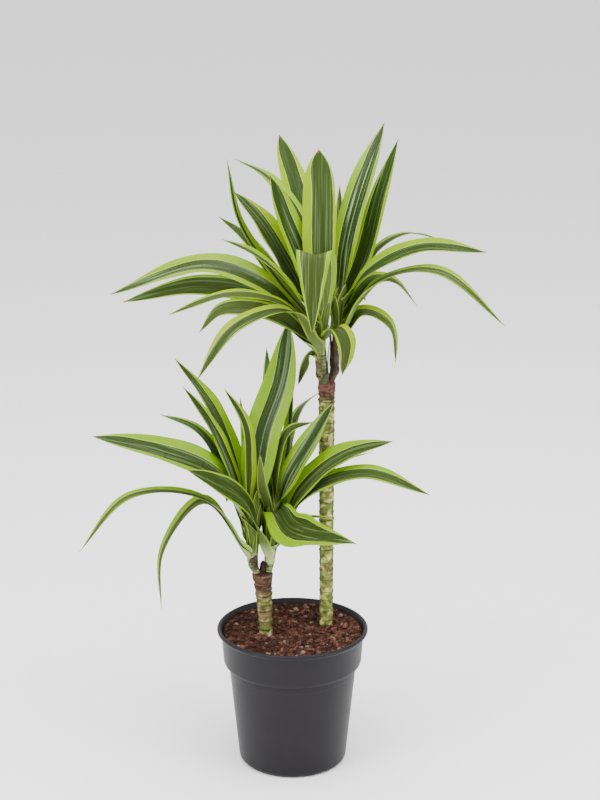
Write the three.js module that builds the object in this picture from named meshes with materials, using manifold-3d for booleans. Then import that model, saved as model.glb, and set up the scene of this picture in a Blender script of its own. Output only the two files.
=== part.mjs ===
// A potted corn plant: two rooted canes in a round nursery pot, each with two leafy shoots.
// Millimetres, +Z up. The origin is the centre of the pot's underside, +X is right, +Y is the back.
import * as THREE from 'three';
import { mergeVertices } from 'three/addons/utils/BufferGeometryUtils.js';
import Module from 'manifold-3d';

const wasm = await Module();
wasm.setup();

// ---------------------------------------------------------------- driving dimensions

const fitGap = 0.3; // between two pieces that rest on each other

const pot = {
  height: 178,
  lipRadius: 95,
  lipHeight: 5.5,
  collarTopRadius: 89.5,
  collarBottomRadius: 87,
  collarBottom: 132, // height of the collar's lower edge
  bodyTopRadius: 80.5,
  bodyBottomRadius: 68,
  wall: 1.8,
  footRingInner: 57,
  footRingOuter: 64.5,
  footCornerHeight: 4,
  centreDiscRadius: 28,
  archHeight: 2.4, // how far the ring with the drain holes stands clear of the ground
  floorTop: 4.4,
  sides: 40,
};
const drain = { holes: 8, holeRadius: 4.5, ringRadius: 43, notches: 4, notchWidth: 17, notchTurn: -57 };

const soil = { edgeHeight: 172, unevenness: 1.6, dip: 3 };

// Each cane: where it stands, how far its top leans, how deep it is planted, and its radii.
const canes = [
  {
    name: 'tall_cane', x: 42.8, y: 29.5, lean: [-0.6, -1], bottom: 72, knobBottom: 479, top: 490,
    rootRadius: 8.6, topRadius: 9.8, knobRadius: 11.2, firstScar: 176, scarPitch: 13.2, scarDrift: 3.6,
  },
  {
    name: 'short_cane', x: -33.5, y: 2, lean: [-4, -1.8], bottom: 108, knobBottom: 240, top: 250,
    rootRadius: 8.4, topRadius: 10.8, knobRadius: 12.6, firstScar: 175, scarPitch: 11.5, scarDrift: 2.4,
  },
];
const caneSides = 14;
const scarRidge = 0.7; // how far a leaf scar stands out of the cane
const scarHalfHeight = 1.3;

const leafThickness = 0.8;
const leafStations = 12; // cross-sections along a leaf
const leafFullness = 2.4; // how long a leaf keeps its width before its point
const sheathWidth = 9; // widest leaf base on a shoot
const foldShare = 0.34; // how far the edges rise above the midrib, as a share of the half width

// Each shoot: its foot on the cane, a point of its stem, its tip, and the stem's radius there.
// Each leaf: height on the shoot, azimuth, three points of its midrib as [out, up] from the shoot's
// axis and foot level, width, and roll of the upper face about the midrib.
const shoots = [
  {
    name: 'upper_left_shoot', base: 490,
    foot: [38.6, 24.4], stem: [37, 20], tip: [32, 20], tipHeight: 112,
    footRadius: 4.4, stemRadius: 6.9, tipRadius: 2.4,
    leaves: [
      [32, 150, [14, 36], [22, 18], [33, -6], 16, -60],
      [40, 160, [75, 100], [160, 110], [265, 80], 28, -55],
      [44, 233, [55, 100], [170, 105], [235, 60], 26, -15],
      [48, 173, [55, 85], [120, 90], [150, 60], 24, -50],
      [52, 145, [75, 135], [115, 170], [155, 190], 18, -35],
      [56, -50, [30, 75], [45, 60], [40, 20], 28, 0],
      [60, 165, [70, 120], [145, 140], [270, 95], 33, -40],
      [62, 110, [45, 120], [95, 115], [140, 70], 26, 0],
      [66, 190, [55, 105], [115, 115], [185, 95], 24, -15],
      [70, 225, [60, 140], [110, 180], [160, 205], 18, -45],
      [74, 160, [55, 125], [105, 195], [120, 270], 22, 0],
      [78, 160, [40, 140], [75, 195], [110, 230], 42, -20, 3],
      [82, -96, [40, 143], [76, 178], [92, 86], 48, 0, 1.4],
      [82, 105, [45, 165], [115, 220], [195, 275], 36, 5, 4],
      [86, 120, [40, 185], [115, 230], [215, 245], 24, 10],
      [94, 170, [20, 150], [40, 200], [60, 255], 38, -35, 3],
      [106, 90, [5, 165], [25, 225], [50, 280], 40, 0, 5],
    ],
  },
  {
    name: 'upper_right_shoot', base: 490,
    foot: [47.4, 33.4], stem: [51, 36], tip: [56, 36], tipHeight: 108,
    footRadius: 4, stemRadius: 4.5, tipRadius: 2.2,
    leaves: [
      [38, 5, [30, 85], [65, 70], [75, 20], 22, 25, 3.5],
      [50, -27, [50, 125], [135, 150], [220, 95], 22, 15],
      [54, 74, [45, 115], [100, 110], [145, 65], 26, 0],
      [70, 28, [50, 120], [80, 115], [115, 80], 24, 25],
      [76, 100, [45, 125], [105, 125], [160, 80], 28, 0],
      [84, 35, [60, 155], [105, 170], [165, 155], 18, -5],
      [88, 35, [40, 150], [65, 225], [90, 290], 30, 10],
      [92, -20, [40, 140], [105, 175], [185, 175], 28, 35],
      [96, 88, [40, 155], [80, 190], [100, 225], 16, 0],
      [101, 55, [15, 165], [50, 235], [100, 305], 34, 5],
    ],
  },
  {
    name: 'lower_left_shoot', base: 250,
    foot: [-44.2, -1.3], stem: [-49, -3], tip: [-53, -3], tipHeight: 88,
    footRadius: 4.2, stemRadius: 5.5, tipRadius: 2.2,
    leaves: [
      [22, 190, [60, 100], [110, 40], [115, -40], 20, -15],
      [28, 205, [60, 105], [160, 125], [225, 65], 20, -5],
      [38, 105, [45, 90], [95, 90], [140, 45], 24, 0],
      [48, 160, [40, 140], [70, 180], [120, 195], 26, -10],
      [52, 100, [40, 150], [70, 190], [85, 205], 12, 0],
      [56, 203, [45, 135], [115, 175], [200, 205], 44, -35],
      [62, 145, [30, 155], [60, 210], [115, 260], 30, -5],
      [70, 40, [20, 175], [49, 243], [63, 316], 44, 45, 3],
      [72, 185, [30, 155], [50, 200], [80, 245], 24, -35],
      [82, 150, [0, 145], [5, 195], [35, 235], 18, -20],
    ],
  },
  {
    name: 'lower_right_shoot', base: 250,
    foot: [-30.8, 1.9], stem: [-29, 3], tip: [-23, 3], tipHeight: 88,
    footRadius: 4.2, stemRadius: 5.2, tipRadius: 2.2,
    leaves: [
      [20, 238, [55, 105], [125, 155], [175, 185], 34, -65],
      [28, 55, [75, 85], [155, 100], [230, 95], 14, -5],
      [32, -20, [30, 70], [55, 80], [85, 80], 6, 30],
      [36, 45, [45, 95], [95, 105], [135, 90], 24, 0],
      [40, -15, [50, 110], [120, 140], [200, 120], 30, 30],
      [44, -10, [40, 115], [90, 160], [150, 180], 34, 40],
      [48, -70, [15, 85], [65, 80], [285, 140], 48, 40, 1],
      [52, 100, [45, 110], [100, 115], [160, 75], 26, 0],
      [56, 70, [55, 145], [100, 180], [185, 185], 22, -35],
      [60, 55, [35, 150], [40, 190], [45, 225], 32, -25],
      [68, 95, [30, 150], [70, 225], [95, 265], 22, 0],
      [72, -115, [30, 120], [35, 145], [35, 165], 14, 0],
      [76, -10, [20, 125], [50, 180], [75, 225], 30, 55],
      [82, 5, [5, 145], [20, 185], [50, 195], 18, 30],
    ],
  },
];

// ---------------------------------------------------------------- finishes

const finish = (color, roughness) => new THREE.MeshStandardMaterial({ color, roughness, metalness: 0 });
const potPlastic = finish(0x3d3c42, 0.5);
const pottingSoil = finish(0x4a2a20, 0.95);
const caneBark = finish(0x9a9468, 0.75);
const shootGreen = finish(0x7f9a5a, 0.6);
const leafGreen = finish(0x6f9a2c, 0.45);

const plant = new THREE.Group();

function add(name, geometry, material) {
  const mesh = new THREE.Mesh(geometry, material);
  mesh.name = name;
  plant.add(mesh);
  return mesh;
}

// ---------------------------------------------------------------- solid helpers

const radians = THREE.MathUtils.degToRad;

// A round solid about +Z from its outline, listed from the axis at the bottom round to the top.
function turned(outline, sides) {
  const profile = outline.map(([radius, height]) => new THREE.Vector2(radius, height));
  const geometry = new THREE.LatheGeometry(profile, sides);
  geometry.rotateX(Math.PI / 2);
  return geometry;
}

function toSolid(geometry) {
  const bare = geometry.clone();
  bare.deleteAttribute('normal');
  bare.deleteAttribute('uv');
  const merged = mergeVertices(bare, 1e-4);
  const mesh = new wasm.Mesh({
    numProp: 3,
    vertProperties: new Float32Array(merged.attributes.position.array),
    triVerts: new Uint32Array(merged.index.array),
  });
  return new wasm.Manifold(mesh);
}

function toGeometry(solid) {
  const mesh = solid.getMesh();
  const geometry = new THREE.BufferGeometry();
  geometry.setAttribute('position', new THREE.BufferAttribute(mesh.vertProperties, 3));
  geometry.setIndex(new THREE.BufferAttribute(mesh.triVerts, 1));
  return geometry;
}

// A closed solid from rings of equally many points, bottom ring first, each ring counter-clockwise
// seen from the end of the run.
function lofted(rings) {
  const sides = rings[0].length;
  const points = rings.flat();
  const faces = [];
  for (let ring = 0; ring + 1 < rings.length; ring++) {
    for (let side = 0; side < sides; side++) {
      const a = ring * sides + side;
      const b = ring * sides + ((side + 1) % sides);
      faces.push(a, b, b + sides, a, b + sides, a + sides);
    }
  }
  const last = (rings.length - 1) * sides;
  for (let side = 1; side + 1 < sides; side++) {
    faces.push(0, side + 1, side);
    faces.push(last, last + side, last + side + 1);
  }
  const geometry = new THREE.BufferGeometry().setFromPoints(points);
  geometry.setIndex(faces);
  return geometry;
}

// ---------------------------------------------------------------- pot and soil

// Inner radius of the pot at a height: the outer face less the wall, with the same step.
function potInside(height) {
  const { collarBottom, bodyTopRadius, bodyBottomRadius, collarBottomRadius, collarTopRadius } = pot;
  const share = height < collarBottom ? height / collarBottom
    : (height - collarBottom) / (pot.height - collarBottom);
  const outer = height < collarBottom
    ? THREE.MathUtils.lerp(bodyBottomRadius, bodyTopRadius, share)
    : THREE.MathUtils.lerp(collarBottomRadius, collarTopRadius, share);
  return outer - pot.wall;
}

function makePot() {
  const lipBottom = pot.height - pot.lipHeight;
  const outline = [
    [0, 0],
    [pot.centreDiscRadius, 0],
    [pot.centreDiscRadius + pot.archHeight, pot.archHeight],
    [pot.footRingInner - 1, pot.archHeight],
    [pot.footRingInner, 0],
    [pot.footRingOuter, 0],
    [pot.footRingOuter + 2.2, 1.1],
    [pot.bodyBottomRadius, pot.footCornerHeight],
    [pot.bodyTopRadius, pot.collarBottom - 1],
    [pot.collarBottomRadius - 1.4, pot.collarBottom - 0.4],
    [pot.collarBottomRadius, pot.collarBottom + 3],
    [pot.collarTopRadius, lipBottom - 2],
    [pot.lipRadius - 2.4, lipBottom],
    [pot.lipRadius, lipBottom + 1.8],
    [pot.lipRadius, pot.height - 1.8],
    [pot.lipRadius - 1.6, pot.height],
    [pot.lipRadius - 3.6, pot.height],
    [pot.lipRadius - 5, pot.height - 1.2],
    [potInside(lipBottom), lipBottom - 2],
    [potInside(pot.collarBottom + 1), pot.collarBottom + 1],
    [potInside(pot.collarBottom - 1), pot.collarBottom - 1],
    [potInside(pot.floorTop + 4), pot.floorTop + 4],
    [potInside(pot.floorTop) - 3, pot.floorTop],
    [0, pot.floorTop],
  ];
  let solid = toSolid(turned(outline, pot.sides));
  for (let hole = 0; hole < drain.holes; hole++) {
    const angle = (2 * Math.PI * (hole + 0.5)) / drain.holes;
    const punch = new THREE.CylinderGeometry(drain.holeRadius, drain.holeRadius, 4 * pot.floorTop, 10);
    punch.rotateX(Math.PI / 2);
    punch.translate(drain.ringRadius * Math.cos(angle), drain.ringRadius * Math.sin(angle), 0);
    solid = solid.subtract(toSolid(punch));
  }
  for (let notch = 0; notch < drain.notches; notch++) {
    const notchReach = pot.bodyBottomRadius - pot.footRingInner + 6;
    const cut = new THREE.BoxGeometry(notchReach, drain.notchWidth, 2 * pot.archHeight);
    cut.translate(pot.footRingInner - 3 + notchReach / 2, 0, 0);
    cut.rotateZ(radians(drain.notchTurn + (360 * notch) / drain.notches));
    solid = solid.subtract(toSolid(cut));
  }
  add('pot', toGeometry(solid), potPlastic);
}

// Height of the soil's surface over its edge level: low swells, flat at the edge.
function soilSwell(x, y) {
  const share = 1 - Math.min(1, Math.hypot(x, y) / 86) ** 4;
  const swell = Math.sin(x / 13 + 0.6) * Math.cos(y / 16) - 0.8 * Math.cos(x / 29) * Math.cos(y / 25 - 0.5);
  return share * (soil.unevenness * swell - soil.dip);
}

function makeSoil() {
  const rings = [78, 66, 54, 42, 30, 18, 8];
  const outline = [
    [0, pot.floorTop + fitGap],
    [potInside(pot.floorTop) - 3.4, pot.floorTop + fitGap],
    [potInside(pot.floorTop + 4) - fitGap, pot.floorTop + 4.2],
    [potInside(pot.collarBottom - 1) - fitGap, pot.collarBottom - 0.4],
    [potInside(pot.collarBottom + 1) - fitGap, pot.collarBottom + 1.6],
    [potInside(soil.edgeHeight) - fitGap, soil.edgeHeight],
    ...rings.map((radius) => [radius, soil.edgeHeight]),
    [0, soil.edgeHeight],
  ];
  const geometry = turned(outline, pot.sides);
  const position = geometry.attributes.position;
  for (let index = 0; index < position.count; index++) {
    if (position.getZ(index) > soil.edgeHeight - 0.01) {
      position.setZ(index, soil.edgeHeight + soilSwell(position.getX(index), position.getY(index)));
    }
  }
  let solid = toSolid(geometry);
  for (const cane of canes) {
    const depth = soil.edgeHeight + 10 - cane.bottom;
    const radius = (cane.rootRadius + fitGap) / Math.cos(Math.PI / caneSides);
    const hole = new THREE.CylinderGeometry(radius, radius, depth, caneSides);
    hole.rotateX(Math.PI / 2);
    hole.translate(cane.x, cane.y, cane.bottom - fitGap + depth / 2);
    solid = solid.subtract(toSolid(hole));
  }
  add('soil', toGeometry(solid), pottingSoil);
}

// ---------------------------------------------------------------- canes

// Heights of the leaf scars that ring a cane: close together with a slow drift in their spacing.
function scarHeights(cane) {
  const heights = [];
  let height = cane.firstScar;
  for (let scar = 0; height < cane.knobBottom - 3; scar++) {
    heights.push(height);
    height += cane.scarPitch + cane.scarDrift * Math.sin(scar * 2.3);
  }
  return heights;
}

function caneRadius(cane, height) {
  const share = THREE.MathUtils.smoothstep(height, soil.edgeHeight, cane.knobBottom);
  return THREE.MathUtils.lerp(cane.rootRadius, cane.topRadius, share);
}

function makeCane(cane) {
  const outline = [[0, cane.bottom], [cane.rootRadius - 1, cane.bottom], [cane.rootRadius, cane.bottom + 1]];
  outline.push([cane.rootRadius, soil.edgeHeight + 2]);
  for (const height of scarHeights(cane)) {
    const radius = caneRadius(cane, height);
    outline.push([radius, height - scarHalfHeight], [radius + scarRidge, height]);
    outline.push([radius - scarRidge / 2, height + scarHalfHeight]);
  }
  outline.push([caneRadius(cane, cane.knobBottom) - 0.6, cane.knobBottom]);
  outline.push([cane.knobRadius, cane.knobBottom + 5]);
  outline.push([cane.knobRadius, cane.top - 1.5], [cane.knobRadius - 1.2, cane.top], [0, cane.top]);
  const geometry = turned(outline, caneSides);
  const position = geometry.attributes.position;
  for (let index = 0; index < position.count; index++) {
    const rise = Math.max(0, position.getZ(index) - soil.edgeHeight) / (cane.top - soil.edgeHeight);
    position.setX(index, position.getX(index) + cane.lean[0] * rise);
    position.setY(index, position.getY(index) + cane.lean[1] * rise);
  }
  add(cane.name, geometry, caneBark).position.set(cane.x, cane.y, 0);
}

// ---------------------------------------------------------------- shoots

const shootSides = 10;
const footLift = 6; // height over which a shoot swells from its foot to its stem

function shootAxis(shoot, up) {
  const [footX, footY] = shoot.foot;
  const [stemX, stemY] = shoot.stem;
  const [tipX, tipY] = shoot.tip;
  const bend = THREE.MathUtils.smoothstep(up, 0, 2 * footLift);
  const rise = Math.max(0, up) / shoot.tipHeight;
  return new THREE.Vector3(
    THREE.MathUtils.lerp(footX, stemX, bend) + (tipX - stemX) * rise,
    THREE.MathUtils.lerp(footY, stemY, bend) + (tipY - stemY) * rise,
    shoot.base + up,
  );
}

function shootRadius(shoot, up) {
  const swell = THREE.MathUtils.smoothstep(up, 0, footLift + 2);
  const taper = THREE.MathUtils.smoothstep(up, 16, shoot.tipHeight);
  const stem = THREE.MathUtils.lerp(shoot.stemRadius, shoot.tipRadius, taper);
  return THREE.MathUtils.lerp(shoot.footRadius, stem, swell);
}

function makeShoot(shoot) {
  const rings = [];
  const levels = [fitGap, 2, 4, 6, 8, 11, 14, 18, 24, 34, 46, 58, 70, 82, 94];
  for (const up of [...levels.filter((level) => level < shoot.tipHeight - 4), shoot.tipHeight]) {
    const axis = shootAxis(shoot, up);
    const radius = up === shoot.tipHeight ? 0.8 : shootRadius(shoot, up);
    const ring = [];
    for (let side = 0; side < shootSides; side++) {
      const angle = (2 * Math.PI * side) / shootSides;
      ring.push(new THREE.Vector3(radius * Math.cos(angle), radius * Math.sin(angle), 0).add(axis));
    }
    rings.push(ring);
  }
  add(shoot.name, lofted(rings), shootGreen);
}

// ---------------------------------------------------------------- leaves

// Share of the full width along a strap leaf: narrow sheath, widest before the middle, long point.
function widthShare(along, width, fullness) {
  const widest = 0.45;
  const sheath = Math.min(sheathWidth, 0.55 * width) / width;
  if (along < widest) {
    return THREE.MathUtils.lerp(sheath, 1, Math.sin((Math.PI / 2) * (along / widest)));
  }
  return 1 - ((along - widest) / (1 - widest)) ** fullness;
}

// A strap leaf: a thin blade folded along its midrib, split alike on its upper and lower face.
function leafGeometry(shoot, leaf) {
  const [height, azimuth, first, second, tip, width, roll, fullness = leafFullness] = leaf;
  const outward = new THREE.Vector3(Math.cos(radians(azimuth)), Math.sin(radians(azimuth)), 0);
  const across = new THREE.Vector3(outward.y, -outward.x, 0);
  const axis = shootAxis(shoot, height);
  const midrib = [[shootRadius(shoot, height) + fitGap + leafThickness, height], first, second, tip];
  const curve = new THREE.CatmullRomCurve3(midrib.map(([out, up]) => (
    axis.clone().setZ(shoot.base + up).addScaledVector(outward, out))), false, 'centripetal');
  const upper = [];
  const lower = [];
  for (let station = 0; station <= leafStations; station++) {
    const along = station / leafStations;
    const centre = curve.getPointAt(along);
    const tangent = curve.getTangentAt(along);
    const turn = radians(roll) * THREE.MathUtils.smoothstep(along, 0, 0.35);
    const level = across.clone().cross(tangent).normalize();
    const side = across.clone().multiplyScalar(Math.cos(turn)).addScaledVector(level, -Math.sin(turn));
    const face = level.clone().multiplyScalar(Math.cos(turn)).addScaledVector(across, Math.sin(turn));
    const half = Math.max(0.5, (width / 2) * widthShare(along, width, fullness));
    for (const share of [-1, 0, 1]) {
      const point = centre.clone().addScaledVector(side, share * half);
      point.addScaledVector(face, Math.abs(share) * half * foldShare);
      upper.push(point.clone().addScaledVector(face, leafThickness / 2));
      lower.push(point.clone().addScaledVector(face, -leafThickness / 2));
    }
  }
  const faces = [];
  const under = upper.length;
  const quad = (a, b, c, d) => faces.push(a, b, c, a, c, d);
  for (let station = 0; station < leafStations; station++) {
    const row = station * 3;
    for (let column = 0; column < 2; column++) {
      const corner = row + column;
      faces.push(corner, corner + 4, corner + 3, corner, corner + 1, corner + 4);
      quad(under + corner, under + corner + 3, under + corner + 4, under + corner + 1);
    }
    quad(row, row + 3, under + row + 3, under + row);
    quad(row + 2, under + row + 2, under + row + 5, row + 5);
  }
  const end = leafStations * 3;
  for (let column = 0; column < 2; column++) {
    quad(column, under + column, under + column + 1, column + 1);
    quad(end + column, end + column + 1, under + end + column + 1, under + end + column);
  }
  const geometry = new THREE.BufferGeometry().setFromPoints([...upper, ...lower]);
  geometry.setIndex(faces);
  return geometry;
}

// ---------------------------------------------------------------- the plant

makePot();
makeSoil();
canes.forEach(makeCane);
for (const shoot of shoots) {
  makeShoot(shoot);
  shoot.leaves.forEach((leaf, index) => {
    const number = String(index + 1).padStart(2, '0');
    add(`${shoot.name.replace('shoot', 'leaf')}_${number}`, leafGeometry(shoot, leaf), leafGreen);
  });
}

export default plant;
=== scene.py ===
# %% [markdown]
# # A potted corn plant
# The real plant is two rooted canes in a round nursery pot. Each cane has sprouted two leafy shoots
# just under its cut top, and each shoot carries a fan of long strap leaves with lime margins.
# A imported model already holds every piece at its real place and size. This lesson dresses it: each
# plain solid gets a finer piece in the same place, and each finish is built from shader nodes.

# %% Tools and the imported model
import math
import random

import bmesh
import bpy
import numpy as np
from mathutils import Matrix, Vector, noise


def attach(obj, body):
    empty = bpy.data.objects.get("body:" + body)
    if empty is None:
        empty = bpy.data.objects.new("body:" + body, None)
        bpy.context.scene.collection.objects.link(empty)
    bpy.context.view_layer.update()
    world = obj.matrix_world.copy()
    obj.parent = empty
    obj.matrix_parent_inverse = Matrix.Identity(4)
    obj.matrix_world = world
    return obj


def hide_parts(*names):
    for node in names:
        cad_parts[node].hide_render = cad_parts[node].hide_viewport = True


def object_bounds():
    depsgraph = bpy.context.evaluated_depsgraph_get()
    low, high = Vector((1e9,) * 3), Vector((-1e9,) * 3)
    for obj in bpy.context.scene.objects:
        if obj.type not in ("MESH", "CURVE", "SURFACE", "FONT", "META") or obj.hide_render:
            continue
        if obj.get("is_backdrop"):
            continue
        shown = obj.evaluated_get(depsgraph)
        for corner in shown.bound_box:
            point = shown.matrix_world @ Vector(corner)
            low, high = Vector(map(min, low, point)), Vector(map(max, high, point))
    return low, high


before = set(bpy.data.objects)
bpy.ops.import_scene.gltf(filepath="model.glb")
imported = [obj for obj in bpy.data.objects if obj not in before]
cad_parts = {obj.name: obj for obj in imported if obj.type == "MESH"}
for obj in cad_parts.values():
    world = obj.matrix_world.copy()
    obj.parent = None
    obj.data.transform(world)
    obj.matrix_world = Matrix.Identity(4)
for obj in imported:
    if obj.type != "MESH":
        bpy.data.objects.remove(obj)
cad_low, cad_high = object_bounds()
MM = 0.001
print("nodes in the frame:", len(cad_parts))
print("size in mm:", [round(1000 * (high - low)) for low, high in zip(cad_low, cad_high)])

# %% [markdown]
# ## The camera
# The plant was seen from about 2.4 m away and a little from above, so its verticals hardly converge
# and the pot's rim shows as a flat ellipse. A 90 mm lens on a 36 mm sensor gives that calm view.

# %% Camera
CAMERA_PLACE = (0.0094, -2.3276, 1.1825)
CAMERA_DOWN = 16.9  # degrees below the horizon
LENS, SENSOR_WIDTH = 90, 36
camera_data = bpy.data.cameras.new("camera")
camera_data.lens = LENS
camera_data.sensor_width = SENSOR_WIDTH
camera = bpy.data.objects.new("camera", camera_data)
camera.location = CAMERA_PLACE
camera.rotation_euler = (math.radians(90 - CAMERA_DOWN), 0, 0)
bpy.context.scene.collection.objects.link(camera)
bpy.context.scene.camera = camera
print("camera at", CAMERA_PLACE)

# %% [markdown]
# ## Effects that several finishes share
# Natural surfaces are never one colour. Two effects do most of that work here and are made once as
# node groups. *Patches* gives soft-edged blotches of a chosen size. *Grain* gives a fine height for
# a Bump node. Both work in the object's own coordinates, so they stick to the surface. A few helpers
# come first, which add a node with its settings, do a sum with nodes and turn a value into a mask.

# %% Nodes, sums and masks
def add_node(tree, kind, values=None, **settings):
    made = tree.nodes.new(kind)
    for name, value in settings.items():
        setattr(made, name, value)
    for socket, value in (values or {}).items():
        made.inputs[socket].default_value = value
    return made


def calc(tree, operation, *terms, clamp=False):
    made = add_node(tree, "ShaderNodeMath", operation=operation, use_clamp=clamp)
    for index, term in enumerate(terms):
        if isinstance(term, (int, float)):
            made.inputs[index].default_value = term
        else:
            tree.links.new(term, made.inputs[index])
    return made.outputs[0]


def ramp(tree, value, start, end):
    made = add_node(tree, "ShaderNodeMapRange", interpolation_type="SMOOTHSTEP")
    tree.links.new(value, made.inputs["Value"])
    for socket, limit in (("From Min", start), ("From Max", end)):
        if isinstance(limit, (int, float)):
            made.inputs[socket].default_value = limit
        else:
            tree.links.new(limit, made.inputs[socket])
    return made.outputs["Result"]


trial = bpy.data.node_groups.new("trial", "ShaderNodeTree")
ramp(trial, calc(trial, "ADD", 1.0, 2.0), 0.0, 1.0)
print("nodes in a trial tree:", [node.bl_idname for node in trial.nodes])
bpy.data.node_groups.remove(trial)

# %% Node groups: patches and grain
def new_group(name, inputs, output):
    group = bpy.data.node_groups.new(name, "ShaderNodeTree")
    for socket, value in inputs.items():
        made = group.interface.new_socket(socket, in_out="INPUT", socket_type="NodeSocketFloat")
        made.default_value = value
    group.interface.new_socket(output, in_out="OUTPUT", socket_type="NodeSocketFloat")
    return group, add_node(group, "NodeGroupInput"), add_node(group, "NodeGroupOutput")


def noise_in_group(group, entry, detail):
    place = add_node(group, "ShaderNodeTexCoord").outputs["Object"]
    made = add_node(group, "ShaderNodeTexNoise", {"Detail": detail}, noise_dimensions="4D")
    group.links.new(place, made.inputs["Vector"])
    group.links.new(entry.outputs["Scale"], made.inputs["Scale"])
    group.links.new(entry.outputs["Variant"], made.inputs["W"])
    return made.outputs["Fac"]


def make_patches():
    inputs = {"Scale": 60.0, "Variant": 0.0, "Coverage": 0.5, "Softness": 0.1}
    group, entry, leave = new_group("patches", inputs, "Mask")
    level = calc(group, "SUBTRACT", 1.0, entry.outputs["Coverage"])
    start = calc(group, "SUBTRACT", level, entry.outputs["Softness"])
    end = calc(group, "ADD", level, entry.outputs["Softness"])
    group.links.new(ramp(group, noise_in_group(group, entry, 4.0), start, end), leave.inputs["Mask"])
    return group


FINER = 4.3  # how many times smaller the fine grain is than the coarse one


def make_grain():
    inputs = {"Scale": 900.0, "Variant": 0.0, "Fine share": 0.5}
    group, entry, leave = new_group("grain", inputs, "Height")
    coarse = noise_in_group(group, entry, 3.0)
    fine = add_node(group, "ShaderNodeTexNoise", {"Detail": 2.0})
    place = add_node(group, "ShaderNodeTexCoord").outputs["Object"]
    group.links.new(place, fine.inputs["Vector"])
    group.links.new(calc(group, "MULTIPLY", entry.outputs["Scale"], FINER), fine.inputs["Scale"])
    fine_part = calc(group, "MULTIPLY", fine.outputs["Fac"], entry.outputs["Fine share"])
    group.links.new(calc(group, "ADD", coarse, fine_part), leave.inputs["Height"])
    return group


PATCHES = make_patches()
GRAIN = make_grain()
print("node groups:", PATCHES.name, GRAIN.name)

# %% [markdown]
# ## The floor and the light
# A plain pale floor and soft light from all round suit a plant: every leaf stays readable. Two large
# area lights stand left and right of the camera and a third hangs above the plant. They draw long soft
# highlights on the pot and leaves.
# The floor is the first piece, so the helpers that every later piece and finish needs start here: one
# turns points and faces into an object, one starts a material, and two put colour into it.

# %% An object from points, and its material
def new_piece(name, points, faces, material, smooth=True):
    mesh = bpy.data.meshes.new(name)
    mesh.from_pydata([tuple(point) for point in points], [], [tuple(face) for face in faces])
    mesh.materials.append(material)
    mesh.validate()
    mesh.polygons.foreach_set("use_smooth", [smooth] * len(mesh.polygons))
    piece = bpy.data.objects.new(name, mesh)
    bpy.context.scene.collection.objects.link(piece)
    return piece


def new_material(name, roughness, **constants):
    material = bpy.data.materials.new(name)
    material.use_nodes = True
    shader = material.node_tree.nodes["Principled BSDF"]
    shader.inputs["Roughness"].default_value = roughness
    for socket, value in constants.items():
        shader.inputs[socket.replace("_", " ")].default_value = value
    return material, material.node_tree, shader


floor_material, floor_tree, floor_shader = new_material("floor_paint", 0.9)
print("material:", floor_material.name)

# %% Colour of the floor
FLOOR_GREYS = (0.93, 0.93, 0.93), (0.95, 0.95, 0.95)


def blend_colour(tree, share, first, second):
    made = add_node(tree, "ShaderNodeMix", data_type="RGBA")
    sockets = made.inputs["Factor"], made.inputs[6], made.inputs[7]
    for socket, term in zip(sockets, (share, first, second)):
        if isinstance(term, (int, float)):
            socket.default_value = term
        elif isinstance(term, tuple):
            socket.default_value = (*term, 1)
        else:
            tree.links.new(term, socket)
    return made.outputs[2]


def place_group(tree, group, **values):
    made = add_node(tree, "ShaderNodeGroup", node_tree=group)
    for socket, value in values.items():
        name = socket.replace("_", " ")
        if isinstance(value, (int, float)):
            made.inputs[name].default_value = value
        else:
            tree.links.new(value, made.inputs[name])
    return made


floor_spots = place_group(floor_tree, PATCHES, Scale=0.6, Variant=3.0, Coverage=0.5, Softness=0.4)
floor_colour = blend_colour(floor_tree, floor_spots.outputs["Mask"], *FLOOR_GREYS)
floor_tree.links.new(floor_colour, floor_shader.inputs["Base Color"])
print("nodes in the floor's material:", len(floor_tree.nodes))

# %% Floor and sky
FLOOR_SIZE, FLOOR_DROP = 30.0, 0.0005
SKY_STRENGTH = 1.5
half_floor = FLOOR_SIZE / 2
floor_signs = (-1, -1), (1, -1), (1, 1), (-1, 1)
floor_corners = [(x * half_floor, y * half_floor, -FLOOR_DROP) for x, y in floor_signs]
floor = new_piece("floor", floor_corners, [(0, 1, 2, 3)], floor_material, smooth=False)
floor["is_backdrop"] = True

world = bpy.data.worlds.new("sky")
bpy.context.scene.world = world
world.use_nodes = True
world.node_tree.nodes["Background"].inputs["Color"].default_value = (1, 1, 1, 1)
world.node_tree.nodes["Background"].inputs["Strength"].default_value = SKY_STRENGTH
print("floor in metres:", FLOOR_SIZE, "sky:", SKY_STRENGTH)

# %% Lamps
def add_lamp(name, place, target, size, power):
    lamp = bpy.data.lights.new(name, "AREA")
    lamp.shape = "RECTANGLE"
    lamp.size, lamp.size_y = size
    lamp.energy = power
    holder = bpy.data.objects.new(name, lamp)
    holder.location = place
    holder.rotation_euler = (Vector(target) - Vector(place)).to_track_quat("-Z", "Y").to_euler()
    bpy.context.scene.collection.objects.link(holder)


PLANT_MIDDLE = (0, 0, 0.4)
add_lamp("softbox_left", (-1.6, -1.3, 1.3), PLANT_MIDDLE, (0.9, 1.6), 40)
add_lamp("softbox_right", (1.7, -1.0, 1.0), PLANT_MIDDLE, (0.7, 1.6), 26)
add_lamp("softbox_top", (0.1, -0.4, 2.6), PLANT_MIDDLE, (2.2, 2.2), 110)
print("lamps:", [lamp.name for lamp in bpy.data.lights])

# %% [markdown]
# ## The pot
# The pot is a thin moulding with a rolled lip, a deep collar that a hand lifts it by, a body that
# narrows to the foot, and drain holes and notches below. It could be built from a stack of cylinders,
# but a turned outline is the natural way: its corners are rounded by short arcs, and the holes are
# then cut with the Boolean modifier.

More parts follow.
